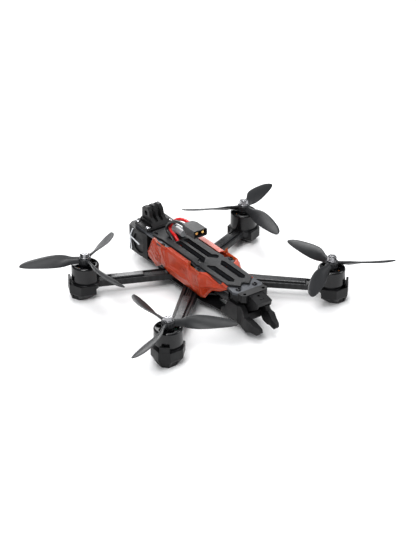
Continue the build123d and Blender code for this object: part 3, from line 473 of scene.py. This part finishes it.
def makeRingOfCoils():
    # Wire wound round each tooth: a helix whose axis points out from the motor's centre.
    tree, given = newTree("ringOfCoils", {
        "Count": ("Int", 12), "Radius": ("Float", 0.0055), "Turns": ("Float", 6.0),
        "Length": ("Float", 0.004), "Coil Radius": ("Float", 0.001), "Tall": ("Vector", (1, 1, 1)),
        "Wire": ("Float", 0.0003),
        "Centre": ("Vector", (0, 0, 0)), "Start": ("Vector", (0, 0, 0)), "Material": ("Material", None),
    })
    points, outward = ringPoints(tree, given["Count"], given["Radius"])
    helix = step(tree, "GeometryNodeCurveSpiral", {
        "Resolution": 10, "Rotations": given["Turns"], "Start Radius": given["Coil Radius"],
        "End Radius": given["Coil Radius"], "Height": given["Length"],
    })
    laid = step(tree, "GeometryNodeTransform",
                {"Geometry": helix.outputs[0], "Rotation": (0, math.pi / 2, 0), "Scale": given["Tall"]})
    section = step(tree, "GeometryNodeCurvePrimitiveCircle", {"Resolution": 6, "Radius": given["Wire"]})
    wireMesh = step(tree, "GeometryNodeCurveToMesh",
                    {"Curve": laid.outputs[0], "Profile Curve": section.outputs[0], "Fill Caps": True})
    smooth = step(tree, "GeometryNodeSetShadeSmooth", {"Geometry": wireMesh.outputs[0]})
    placed = step(tree, "GeometryNodeInstanceOnPoints",
                  {"Points": points, "Instance": smooth.outputs[0], "Rotation": outward})
    moved = step(tree, "GeometryNodeTransform",
                 {"Geometry": placed.outputs[0], "Translation": given["Centre"], "Rotation": given["Start"]})
    closeTree(tree, moved.outputs[0], given["Material"])
    return tree


def makeButtonScrews():
    # A domed head with a hexagonal socket and a shank, at every point that comes in.
    tree, given = newTree("buttonScrews", {
        "Head": ("Float", 0.00275), "Height": ("Float", 0.0016), "Socket": ("Float", 0.0011),
        "Shank": ("Float", 0.0015), "Length": ("Float", 0.008), "Turn": ("Vector", (0, 0, 0)),
        "Material": ("Material", None),
    }, takesGeometry=True)
    ball = step(tree, "GeometryNodeMeshUVSphere", {"Segments": 28, "Rings": 12, "Radius": 1.0})
    size = step(tree, "ShaderNodeCombineXYZ",
                {"X": given["Head"], "Y": given["Head"], "Z": given["Height"]})
    dome = step(tree, "GeometryNodeTransform", {"Geometry": ball.outputs[0], "Scale": size.outputs[0]})
    cutter = step(tree, "GeometryNodeMeshCylinder",
                  {"Vertices": 6, "Radius": given["Socket"], "Depth": 0.0016})
    raised = step(tree, "GeometryNodeTransform",
                  {"Geometry": cutter.outputs[0], "Translation": (0, 0, 0.0015)})
    floor = step(tree, "GeometryNodeMeshCube", {"Size": (0.02, 0.02, 0.01)})
    below = step(tree, "GeometryNodeTransform",
                 {"Geometry": floor.outputs[0], "Translation": (0, 0, -0.005)})
    head = step(tree, "GeometryNodeMeshBoolean", {0: dome.outputs[0]}, operation="DIFFERENCE")
    tree.links.new(raised.outputs[0], head.inputs[1])
    tree.links.new(below.outputs[0], head.inputs[1])
    half = step(tree, "ShaderNodeMath", {0: given["Length"], 1: -0.5}, operation="MULTIPLY")
    drop = step(tree, "ShaderNodeCombineXYZ", {"Z": half.outputs[0]})
    stem = step(tree, "GeometryNodeMeshCylinder",
                {"Vertices": 20, "Radius": given["Shank"], "Depth": given["Length"]})
    lowered = step(tree, "GeometryNodeTransform",
                   {"Geometry": stem.outputs[0], "Translation": drop.outputs[0]})
    joined = step(tree, "GeometryNodeJoinGeometry")
    for part in (head, lowered):
        tree.links.new(part.outputs[0], joined.inputs[0])
    placed = step(tree, "GeometryNodeInstanceOnPoints",
                  {"Points": given["Geometry"], "Instance": joined.outputs[0], "Rotation": given["Turn"]})
    closeTree(tree, placed.outputs[0], given["Material"])
    return tree


def makeRingCopies():
    # Turned copies of the incoming mesh about a vertical axis.
    tree, given = newTree("ringCopies", {
        "Count": ("Int", 3), "Centre": ("Vector", (0, 0, 0)), "Start": ("Float", 0.0),
        "Material": ("Material", None),
    }, takesGeometry=True)
    spots = step(tree, "GeometryNodeMeshLine", {"Count": given["Count"], "Offset": (0, 0, 0)})
    share = step(tree, "ShaderNodeMath", {0: 2 * math.pi, 1: given["Count"]}, operation="DIVIDE")
    number = step(tree, "GeometryNodeInputIndex")
    turn = step(tree, "ShaderNodeMath",
                {0: number.outputs[0], 1: share.outputs[0], 2: given["Start"]}, operation="MULTIPLY_ADD")
    angle = step(tree, "ShaderNodeCombineXYZ", {"Z": turn.outputs[0]})
    placed = step(tree, "GeometryNodeInstanceOnPoints",
                  {"Points": spots.outputs[0], "Instance": given["Geometry"], "Rotation": angle.outputs[0]})
    moved = step(tree, "GeometryNodeTransform",
                 {"Geometry": placed.outputs[0], "Translation": given["Centre"]})
    closeTree(tree, moved.outputs[0], given["Material"])
    return tree


def makeRowOfBars():
    # Equal bars side by side along X, such as cooling fins.
    tree, given = newTree("rowOfBars", {
        "Count": ("Int", 8), "Step": ("Vector", (0.002, 0, 0)), "First": ("Vector", (0, 0, 0)),
        "Size": ("Vector", (0.001, 0.001, 0.001)), "Material": ("Material", None),
    })
    spots = step(tree, "GeometryNodeMeshLine",
                 {"Count": given["Count"], "Start Location": given["First"], "Offset": given["Step"]})
    bar = step(tree, "GeometryNodeMeshCube", {"Size": given["Size"]})
    placed = step(tree, "GeometryNodeInstanceOnPoints",
                  {"Points": spots.outputs[0], "Instance": bar.outputs[0]})
    closeTree(tree, placed.outputs[0], given["Material"])
    return tree


def grow(name, tree, values, seed=None):
    # Runs a tree on a mesh and keeps the result as a plain mesh.
    obj = link(bpy.data.objects.new(name, seed or bpy.data.meshes.new(name)))
    modifier = obj.modifiers.new("grow", "NODES")
    modifier.node_group = tree
    for item in tree.interface.items_tree:
        if item.item_type == "SOCKET" and item.in_out == "INPUT" and item.name in values:
            modifier[item.identifier] = values[item.name]
    mesh = bakedMesh(obj)
    obj.modifiers.clear()
    obj.data = mesh
    return obj


def pointsMesh(places):
    mesh = bpy.data.meshes.new("places")
    mesh.from_pydata([tuple(c * mm for c in place) for place in places], [], [])
    return mesh


def joinMeshes(name, parts, material, smooth=None):
    whole = bmesh.new()
    for part in parts:
        whole.from_mesh(part.data)
    mesh = bpy.data.meshes.new(name)
    whole.to_mesh(mesh)
    whole.free()
    for part in parts:
        bpy.data.objects.remove(part)
    if smooth:
        smoothShade(mesh, smooth)
    mesh.materials.append(material)
    return link(bpy.data.objects.new(name, mesh))


ringOfBlocks, ringOfCoils, buttonScrews = makeRingOfBlocks(), makeRingOfCoils(), makeButtonScrews()
ringCopies, rowOfBars = makeRingCopies(), makeRowOfBars()
print("node trees")


# Battery lead: cord routes from the plug down to the speed controller.
lead = {"diameter": 0.0035}
leadRoutes = {
    "battery_lead_red": [
        (3.6, 29.0, 66.6), (3.6, 35.0, 66.6), (3.2, 44.5, 66.4), (2.6, 53.0, 63.4), (1.2, 60.6, 57.4),
        (-0.6, 64.6, 49.8), (-1.2, 60.4, 46.2), (-1.2, 54.6, 46.0), (-1.0, 49.6, 42.4),
        (-0.8, 46.2, 36.4), (-1.6, 41.6, 30.6), (-3.0, 35.6, 26.9), (-3.0, 30.6, 26.2),
    ],
    "battery_lead_black": [
        (-3.6, 29.0, 66.6), (-3.6, 35.0, 66.6), (-4.0, 43.5, 66.2), (-4.4, 51.6, 63.4),
        (-4.8, 59.0, 58.0), (-5.2, 63.2, 50.6), (-5.2, 59.0, 47.0), (-5.0, 54.2, 45.0),
        (-5.0, 50.0, 40.0), (-5.4, 46.4, 33.8), (-7.0, 41.0, 28.6), (-8.0, 34.6, 26.2),
        (-8.0, 30.4, 26.0),
    ],
}
leadLooks = {
    "battery_lead_red": (redSilicone, "red_sheath"),
    "battery_lead_black": (blackSilicone, "black_sheath"),
}


def cordCurve(name, points, diameter):
    data = bpy.data.curves.new(name, "CURVE")
    data.dimensions = "3D"
    spline = data.splines.new("NURBS")
    spline.points.add(len(points) - 1)
    for slot, point in zip(spline.points, points):
        slot.co = (*[c * mm for c in point], 1)
    spline.order_u = 3
    spline.use_endpoint_u = True
    spline.resolution_u = 12
    data.bevel_depth = diameter / 2
    data.bevel_resolution = 8
    data.use_fill_caps = True
    return link(bpy.data.objects.new(name, data))


def curveLength(obj):
    bare = obj.data.copy()
    bare.bevel_depth = 0
    probe = bpy.data.objects.new("probe", bare)
    link(probe)
    mesh = bakedMesh(probe)
    spots = mesh.vertices
    total = sum((spots[e.vertices[0]].co - spots[e.vertices[1]].co).length for e in mesh.edges)
    bpy.data.objects.remove(probe)
    return total


def sinkPrism(piece, outline, top, depth):
    # Cuts an upright prism out of a piece and keeps the result.
    count = len(outline)
    points = [Vector((x, y, z)) * mm for z in (top - depth, top) for x, y in outline]
    sides = [(k, (k + 1) % count, (k + 1) % count + count, k + count) for k in range(count)]
    ends = [tuple(reversed(range(count))), tuple(range(count, 2 * count))]
    cutter = meshObject("cutter", points, ends + sides)
    modifier = piece.modifiers.new("sink", "BOOLEAN")
    modifier.object = cutter
    modifier.operation = "DIFFERENCE"
    modifier.solver = "EXACT"
    while piece.modifiers[0] != modifier:
        piece.modifiers.move(piece.modifiers.find("sink"), 0)
    others = [m for m in piece.modifiers if m != modifier]
    for other in others:
        other.show_viewport = False
    mesh = bakedMesh(piece)
    for other in others:
        other.show_viewport = True
    piece.modifiers.remove(modifier)
    piece.data = mesh
    bpy.data.objects.remove(cutter)


def bareStud(bell, centre, reach=0.0027, above=0.0436):
    # The threaded stud above the propeller's hub is bare steel.
    bell.data.materials.append(screwSteel)
    for face in bell.data.polygons:
        offset = face.center - centre
        if math.hypot(offset.x, offset.y) < reach and face.center.z > above:
            face.material_index = 1


softPieces = {
    "batteryPad": ("battery_pad", 0.0004, padRubber, "grey_rubber"),
    "topPlate": ("top_plate", 0.00025, paleAlloy, "pale_alloy"),
    "innerCowl": ("inner_cowl", 0.0002, glossyLiner, "glossy_liner"),
    "bottomPlate": ("bottom_plate", 0.00025, carbonPlate, "carbon"),
    "midPlate": ("mid_plate", 0.00025, carbonPlate, "carbon"),
    "actionMount": ("action_mount", 0.0005, blackRubber, "black_rubber"),
    "tailBumper": ("tail_bumper", 0.0006, blackRubber, "black_rubber"),
    "noseMount": ("nose_mount", 0.0006, blackRubber, "black_rubber"),
    "frontBumper": ("front_bumper", 0.0006, blackRubber, "black_rubber"),
    "powerPlug": ("power_plug", 0.0004, plugNylon, "plug_plastic"),
    "plugPins": ("plug_pins", 0.0004, goldPlate, "gold_plate"),
    "capacitorCan": ("capacitor", 0.0006, capSleeve, "capacitor_sleeve"),
}
for name, (cadNode, bevel, material, slot) in softPieces.items():
    finishPiece(cadCopy(name, [cadNode], bevel), "frame", material, (cadNode,))
noseCuts = {  # small features sunk into the nose hood: outline on X and Y, top, depth
    "hole": ([(1.3 * math.cos(k * math.pi / 12), -86.6 + 1.3 * math.sin(k * math.pi / 12))
              for k in range(24)], 46.0, 6.0),
    "notch": ([(-2.2, -92.4), (0.0, -93.6), (2.2, -92.4), (2.2, -91.2), (0.0, -92.4), (-2.2, -91.2)],
              44.0, 4.4),
    "leftSlot": ([(-7.4, -90.5), (-6.2, -90.5), (-6.2, -84.5), (-7.4, -84.5)], 46.0, 4.8),
    "rightSlot": ([(6.2, -90.5), (7.4, -90.5), (7.4, -84.5), (6.2, -84.5)], 46.0, 4.8),
}
for outline, top, depth in noseCuts.values():
    sinkPrism(bpy.data.objects["noseMount"], outline, top, depth)
for corner in cornerNames:
    finishPiece(cadCopy(f"arm_{corner}_carbon", [f"arm_{corner}"], 0.0003), "frame",
                carbonArm[corner], (f"arm_{corner}",))
    finishPiece(cadCopy(f"foot_{corner}_boot", [f"foot_{corner}"], 0.0008), "frame",
                blackRubber, (f"foot_{corner}",))
    finishPiece(cadCopy(f"lead_cover_{corner}_sleeve", [f"lead_cover_{corner}"], 0.0003), "frame",
                coverSleeve, (f"lead_cover_{corner}",))
    bell = finishPiece(cadCopy(f"bell_{corner}_can", [f"bell_{corner}"], 0.00035), f"rotor_{corner}",
                       bellPaint, (f"bell_{corner}",))
    bareStud(bell, motorCentre(corner))
    finishPiece(cadCopy(f"prop_nut_{corner}_flange", [f"prop_nut_{corner}"], 0.0004), f"rotor_{corner}",
                nutSteel, (f"prop_nut_{corner}",))
    dress(f"motor_base_{corner}", baseAlloy)
    dress(f"stator_{corner}", statorLacquer)
for cadNode, material in {
    "motor_leads": blackSilicone, "motor_bearings": bearingSteel, "motor_screws": darkSteel,
    "standoffs": darkSteel, "speed_controller": boardGreen, "flight_controller": boardGreen,
    # receiver_aerial gets the white painted highlight for the tail's edges.
    "stack_bolts": darkSteel, "stack_grommets": blackRubber, "receiver_aerial": paintedHighlightWhite,
}.items():
    dress(cadNode, material)
print("frame pieces")


topFace, bottomUnder, mountBase = 42.2, 9.2, 3.0
tabPlaces = [(side * 19.8, y) for side in (-1, 1) for y in (48.7, -13.6)]
nosePlaces = [(side * 9.7, -67.3) for side in (-1, 1)]
tailPlaces = [(side * 14.3, y) for side in (-1, 1) for y in (83.1, 101.7)]
armRoots = {"front": (9.0, 8.2), "rear": (9.0, 32.9)}


def armBolts():
    # Two bolts across each arm, near its root.
    places = []
    for corner in cornerNames:
        rootX, rootY = armRoots[corner.split("_")[0]]
        centre = motorCentre(corner) / mm
        side = math.copysign(1, centre.x)
        run = Vector((centre.x - side * rootX, centre.y - rootY))
        out = run.normalized()
        base = Vector((centre.x, centre.y)) - out * (run.length - 6.5)
        for way in (-4.2, 4.2):
            places.append((base.x - out.y * way, base.y + out.x * way))
    return places


screwGroups = {  # places, seat height, points up, shank length, material
    "tab": (tabPlaces, topFace, True, 8.0, darkSteel),
    "nose": (nosePlaces, topFace, True, 8.0, darkSteel),
    "tail": (tailPlaces, topFace + mountBase, True, 11.0, screwSteel),
    "belly": (nosePlaces + tailPlaces, bottomUnder, False, 8.0, darkSteel),
    "arm": (armBolts(), bottomUnder, False, 10.5, darkSteel),
}
for name, (places, seat, up, shank, material) in screwGroups.items():
    screws = grow(f"screws_{name}", buttonScrews, {
        "Length": shank * mm, "Turn": (0, 0, 0) if up else (math.pi, 0, 0), "Material": material,
    }, pointsMesh([(x, y, seat) for x, y in places]))
    screws.data.set_sharp_from_angle(angle=math.radians(40))
    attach(screws, "frame")
    if name == "tab":
        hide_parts("frame_screws")
print("screws")


motorLook = {
    "coils": {"Count": 12, "Radius": 0.0053, "Turns": 7.0, "Length": 0.0048, "Coil Radius": 0.00115,
              "Tall": (4.3, 1, 1), "Wire": 0.00034, "Start": (0, 0, math.radians(15))},
    "coilMiddle": 0.0258,
    "magnets": {"Count": 14, "Radius": 0.01175, "Size": (0.0009, 0.0044, 0.0085)},
    "magnetMiddle": 0.0262,
}
for corner in cornerNames:
    x, y, _ = motorCentre(corner)
    coils = grow(f"coils_{corner}", ringOfCoils, {
        **motorLook["coils"], "Centre": (x, y, motorLook["coilMiddle"]), "Material": winding,
    })
    finishPiece(coils, "frame", winding)
    magnets = grow(f"magnets_{corner}", ringOfBlocks, {
        **motorLook["magnets"], "Centre": (x, y, motorLook["magnetMiddle"]), "Material": magnetNickel,
    })
    finishPiece(magnets, f"rotor_{corner}", magnetNickel)
print("windings and magnets")


guard = {
    "wall": 1.5, "rear": 77.0, "front": -57.2, "columnStep": 0.85, "rows": 38, "lipRows": 4,
    "lean": 2.4, "leanDepth": 5.0, "tuck": 1.3, "tuckDepth": 4.0,
    "lip": [(77, 0.9), (65, 1.4), (40, 1.4), (38, 6.2), (2, 6.4), (0, 1.4), (-20, 1.4), (-23, 7.4),
            (-30, 5.2), (-44, 3.0), (-48, 1.4), (-57.2, 1.2)],
    "bow": [(77, 20.9), (64, 22.4), (56.5, 24.5), (43, 24.9), (17, 25.4), (-3, 25.6), (-23, 25.9),
            (-29, 22.4), (-48, 18.9), (-57.2, 17.8)],
    "low": [(77, 16.7), (59, 14), (52, 17.6), (46, 21.7), (34, 18.2), (-15, 18.2), (-27.5, 17.7),
            (-32, 24.7), (-37, 29.7), (-47, 33), (-57.2, 39.4)],
    "high": [(77, 22), (70, 34), (64.5, 44.4), (44, 44.2), (39, 44.7), (-1.6, 44.2), (-3, 49.4),
             (-4.4, 44), (-20, 43.7), (-21, 44.5), (-30, 42.7), (-44, 39.6), (-50, 42.2), (-57.2, 41.3)],
    "ridges": [  # from, to, half width, how far it stands out
        ((64.5, 41.0), (47.5, 31.5), 1.5, 1.1), ((67.5, 36.0), (48.5, 27.5), 1.5, 1.1),
        ((71.0, 30.5), (51.0, 23.8), 1.5, 1.1), ((75.0, 24.0), (55.5, 18.2), 1.5, 1.0),
        ((47.0, 43.0), (33.0, 21.0), 1.4, 0.9), ((39.0, 43.5), (36.0, 27.0), 1.1, 0.7),
        ((-1.0, 28.0), (-15.0, 22.0), 1.4, 0.9), ((-2.0, 43.0), (-8.0, 26.0), 1.2, 0.8),
        ((34.0, 25.0), (-1.0, 26.5), 1.3, 0.8), ((-20.0, 43.0), (-25.0, 20.0), 1.3, 0.9),
        ((-25.0, 30.0), (-46.0, 37.6), 1.2, 0.8),
    ],
    "panels": [  # sunk faces, corners in order
        ([(36, 41.5), (2, 41.5), (1, 29), (33, 28)], 0.8),
        ([(-6, 41), (-18, 41), (-22.5, 26), (-11, 26.5)], 0.7),
        ([(-26, 40.5), (-42, 37.8), (-30, 33.5)], 0.6),
        ([(61, 42.5), (50, 42.5), (48, 35), (56, 39)], 0.6),
        ([(28, 23.6), (2, 24.6), (-8, 20.2), (26, 20.2)], 0.6),
    ],
    "slit": ((-14.0, 36.5), (-17.5, 29.5), 0.55, -1.2),
    "collars": {"x": 19.8, "ys": (48.7, -13.6), "inner": 2.6, "outer": 4.6, "low": 24, "high": 31,
                "webHalf": 3.2, "webStart": 23.6},
}


def along(table, y):
    # Value of a rear-to-front table at y.
    for (y1, v1), (y2, v2) in zip(table, table[1:]):
        if y2 <= y <= y1:
            return v1 + (v2 - v1) * (y1 - y) / (y1 - y2)
    return table[0][1] if y > table[0][0] else table[-1][1]


def ease(t):
    t = min(max(t, 0), 1)
    return t * t * (3 - 2 * t)


def nearSegment(y, z, start, end):
    run = (end[0] - start[0], end[1] - start[1])
    t = ((y - start[0]) * run[0] + (z - start[1]) * run[1]) / (run[0] ** 2 + run[1] ** 2)
    t = min(max(t, 0), 1)
    return math.hypot(y - start[0] - run[0] * t, z - start[1] - run[1] * t)


def insideBy(y, z, corners):
    # How far a point is inside a convex outline; negative outside.
    area = sum(a[0] * b[1] - b[0] * a[1] for a, b in zip(corners, corners[1:] + corners[:1]))
    way = math.copysign(1, area)
    reach = 99.0
    for a, b in zip(corners, corners[1:] + corners[:1]):
        run = (b[0] - a[0], b[1] - a[1])
        reach = min(reach, way * (run[0] * (z - a[1]) - run[1] * (y - a[0])) / math.hypot(*run))
    return reach


def guardRelief(y, z):
    out = 0.0
    for start, end, half, stand in (*guard["ridges"], guard["slit"]):
        gap = nearSegment(y, z, start, end)
        if gap < half:
            out += stand * ease(1 - gap / half)
    for corners, depth in guard["panels"]:
        out -= depth * ease(insideBy(y, z, corners) / 0.9)
    return out


def makeGuard(side, name, cadNode):
    breaks = {y for key in ("bow", "low", "high", "lip") for y, _ in guard[key]}
    rear, front = guard["rear"], guard["front"]
    count = int((rear - front) / guard["columnStep"])
    columns = sorted(breaks | {rear - (rear - front) * k / count for k in range(count + 1)}, reverse=True)
    columns = [y for k, y in enumerate(columns) if k == 0 or columns[k - 1] - y > 0.12 or y in breaks]
    verts, faces = [], []
    rows, lipRows = guard["rows"], guard["lipRows"]
    tall = rows + lipRows
    for y in columns:
        low, high, bow = (along(guard[key], y) for key in ("low", "high", "bow"))
        for k in range(rows):
            z = low + (high - low) * k / (rows - 1)
            edge = min(1, (z - low) / 2.5, (high - z) / 2.0, (rear + 0.4 - y) / 2, (y - front + 0.4) / 2)
            x = bow - 1.0 + guardRelief(y, z) * ease(edge)
            x -= guard["tuck"] * (1 - ease((z - low) / guard["tuckDepth"]))
            x -= guard["lean"] * ease(1 - (high - z) / guard["leanDepth"])
            verts.append((side * x * mm, y * mm, z * mm))
        x, lip = bow - 1.0 - guard["lean"], along(guard["lip"], y)
        for k in range(lipRows):
            share = (k + 1) / lipRows
            verts.append((side * (x - (lip - 1.4) * share) * mm, y * mm, (high - 1.0 * share ** 2) * mm))
    for column in range(len(columns) - 1):
        for k in range(tall - 1):
            a = column * tall + k
            quad = (a, a + tall, a + tall + 1, a + 1)
            faces.append(quad if side < 0 else tuple(reversed(quad)))
    obj = meshObject(name, verts, faces, 50)
    shell = obj.modifiers.new("wall", "SOLIDIFY")
    shell.thickness = guard["wall"] * mm
    shell.offset = -1
    mesh = bakedMesh(obj)
    obj.modifiers.clear()
    obj.data = mesh
    parts = [obj]
    collars = guard["collars"]
    inner, outer, bottom, top = (collars[key] for key in ("inner", "outer", "low", "high"))
    for y in collars["ys"]:   # collars on the standoffs, with a web to the wall
        profile = [(inner, bottom), (outer, bottom), (outer, top), (inner, top), (inner, bottom)]
        points, collarFaces = turned(profile, 32, (side * collars["x"], y))
        parts.append(meshObject("collar", [Vector(v) * mm for v in points], collarFaces))
        near, far, half = collars["webStart"], along(guard["bow"], y) - 1.8, collars["webHalf"]
        points = [(side * x, y + way * half, z) for z in (bottom + 0.6, top - 0.6)
                  for x, way in ((near, -1), (far, -1), (far, 1), (near, 1))]
        webFaces = [(0, 1, 2, 3), (4, 7, 6, 5), (0, 4, 5, 1), (1, 5, 6, 2), (2, 6, 7, 3), (3, 7, 4, 0)]
        parts.append(meshObject("web", [Vector(v) * mm for v in points], webFaces))
    whole = joinMeshes(name + "Shell", parts, orangeRubber)
    faceOutward(whole.data, merge=True)
    smoothShade(whole.data, 46)
    return finishPiece(whole, "frame", orangeRubber, (cadNode,))


makeGuard(-1, "sideGuardLeft", "side_guard_left")
makeGuard(1, "sideGuardRight", "side_guard_right")
print("side guards")


transmitter = {
    "fins": {"Count": 8, "Step": (0.0025, 0, 0), "First": (-0.00875, 0.073, 0.0179),
             "Size": (0.001, 0.017, 0.0016)},
}
finParts = [
    cadCopy("transmitterBody", ["video_transmitter"], 0),
    grow("transmitterFins", rowOfBars, {**transmitter["fins"], "Material": paleAlloy}),
]
finishPiece(joinMeshes("videoTransmitter", finParts, paleAlloy), "frame", paleAlloy,
            ("video_transmitter",))
print("video transmitter")

for cadNode, route in leadRoutes.items():
    obj = cordCurve(f"{cadNode}_sheath", route, lead["diameter"])
    material, slot = leadLooks[cadNode]
    finishPiece(obj, "frame", material, (cadNode,))
    length = curveLength(obj)
    print("battery lead", cadNode, round(length, 4))


blade = {
    "stations": [  # radius, chord, thickness, sweep back
        (5.2, 7.4, 3.0, 0.0), (9.0, 7.6, 2.7, -0.2), (14.0, 8.6, 2.3, -0.4), (20.0, 12.2, 2.0, -0.8),
        (27.0, 14.8, 1.8, -0.9), (35.0, 15.3, 1.6, -0.4), (42.0, 14.6, 1.4, 0.2), (49.0, 13.0, 1.2, 1.0),
        (55.0, 11.2, 1.1, 1.8), (60.0, 8.6, 0.95, 2.7), (63.5, 5.4, 0.8, 3.6), (65.2, 2.2, 0.6, 4.4),
    ],
    "advance": 118.0,
    "steepestAt": 17.0,
    "rootHeight": 40.7,
    "droop": 2.2,
    "radius": 65.4,
    "camber": 0.055,
    "fullness": 1.6, "edge": 0.07, "bluntness": 0.25, "thin": 0.82,
    "ring": 22, "rings": 40,
}
hub = {
    "low": 37.05, "high": 43.55, "outer": 6.5, "bore": 2.55, "steps": 48,
    "ribs": {"Count": 15, "Radius": 0.0056, "Size": (0.0010, 0.0008, 0.0046)},
}
firstBlade = {"front_left": 90, "front_right": 90, "rear_left": 270, "rear_right": 270}
spinWay = {"front_left": 1, "front_right": -1, "rear_left": -1, "rear_right": 1}


def smoothStations(rows, count):
    # Catmull-Rom through the table, so the outline has no corners.
    spread = []
    for k in range(count):
        t = k / (count - 1) * (len(rows) - 1)
        i = min(int(t), len(rows) - 2)
        f = t - i
        near = [rows[max(i - 1, 0)], rows[i], rows[i + 1], rows[min(i + 2, len(rows) - 1)]]
        spread.append(tuple(
            0.5 * (2 * b + (c - a) * f + (2 * a - 5 * b + 4 * c - d) * f * f
                   + (3 * b - a - 3 * c + d) * f ** 3)
            for a, b, c, d in zip(*near)))
    return spread


def foilPoint(turn, chord, thick):
    # One point of the section: u along the chord (+ leads), w across it.
    u = 0.5 * math.cos(turn)
    nose = 0.5 - u                       # 0 at the leading edge
    half = thick * blade["fullness"] * math.sqrt(max(nose, 0)) * (1 - nose) ** 0.9 + thick * blade["edge"]
    camber = blade["camber"] * chord * (1 - (2 * u) ** 2)
    side = half if math.sin(turn) >= 0 else -half
    return u * chord, camber + side * abs(math.sin(turn)) ** blade["bluntness"]


def makeBlade(way):
    # One blade along +X, about the vertical axis; way is +1 or -1 for the turning direction.
    verts, faces = [], []
    ring = blade["ring"]
    stations = smoothStations(blade["stations"], blade["rings"])
    for radius, chord, thick, sweep in stations:
        pitch = math.atan(blade["advance"] / (2 * math.pi * max(radius, blade["steepestAt"])))
        lift = blade["rootHeight"] - blade["droop"] * radius / blade["radius"]
        middle = Vector((radius, -sweep * way, lift))
        chordWay = Vector((0, way * math.cos(pitch), math.sin(pitch)))
        upWay = Vector((0, -way * math.sin(pitch), math.cos(pitch)))
        for n in range(ring):
            u, w = foilPoint(2 * math.pi * n / ring, chord, thick)
            verts.append((middle + chordWay * u + upWay * w * blade["thin"]) * mm)
    for row in range(len(stations) - 1):
        for n in range(ring):
            m = (n + 1) % ring
            faces.append((row * ring + n, row * ring + m, (row + 1) * ring + m, (row + 1) * ring + n))
    faces.append(tuple(range(ring)))
    faces.append(tuple((len(stations) - 1) * ring + n for n in range(ring)))
    obj = meshObject("blade", verts, faces)
    faceOutward(obj.data)
    return obj


def makeProp(corner):
    centre = motorCentre(corner) / mm
    single = makeBlade(spinWay[corner])
    blades = grow("blades", ringCopies, {
        "Count": 3, "Centre": (centre.x * mm, centre.y * mm, 0),
        "Start": math.radians(firstBlade[corner]), "Material": bladePlastic,
    }, single.data)
    bpy.data.objects.remove(single)
    low, high, outer, bore = hub["low"], hub["high"], hub["outer"], hub["bore"]
    profile = [
        (bore, low), (outer - 0.6, low), (outer, low + 0.6), (outer, low + 1.6),
        (outer - 0.9, low + 1.9), (outer - 0.9, high - 1.7), (outer - 0.2, high - 1.4),
        (outer - 0.2, high - 0.5), (outer - 0.7, high), (bore + 1.2, high), (bore, high - 0.4), (bore, low),
    ]
    verts, faces = turned(profile, hub["steps"], (centre.x, centre.y))
    core = meshObject("core", [Vector(v) * mm for v in verts], faces)
    ribs = grow("ribs", ringOfBlocks, {
        **hub["ribs"], "Centre": (centre.x * mm, centre.y * mm, (low + high) / 2 * mm),
        "Material": bladePlastic,
    })
    whole = joinMeshes(f"prop_{corner}_blades", [blades, core, ribs], bladePlastic, 38)
    faceOutward(whole.data, merge=True)
    return finishPiece(whole, f"rotor_{corner}", bladePlastic, (f"prop_{corner}",))


for corner in cornerNames:
    makeProp(corner)
print("propellers")
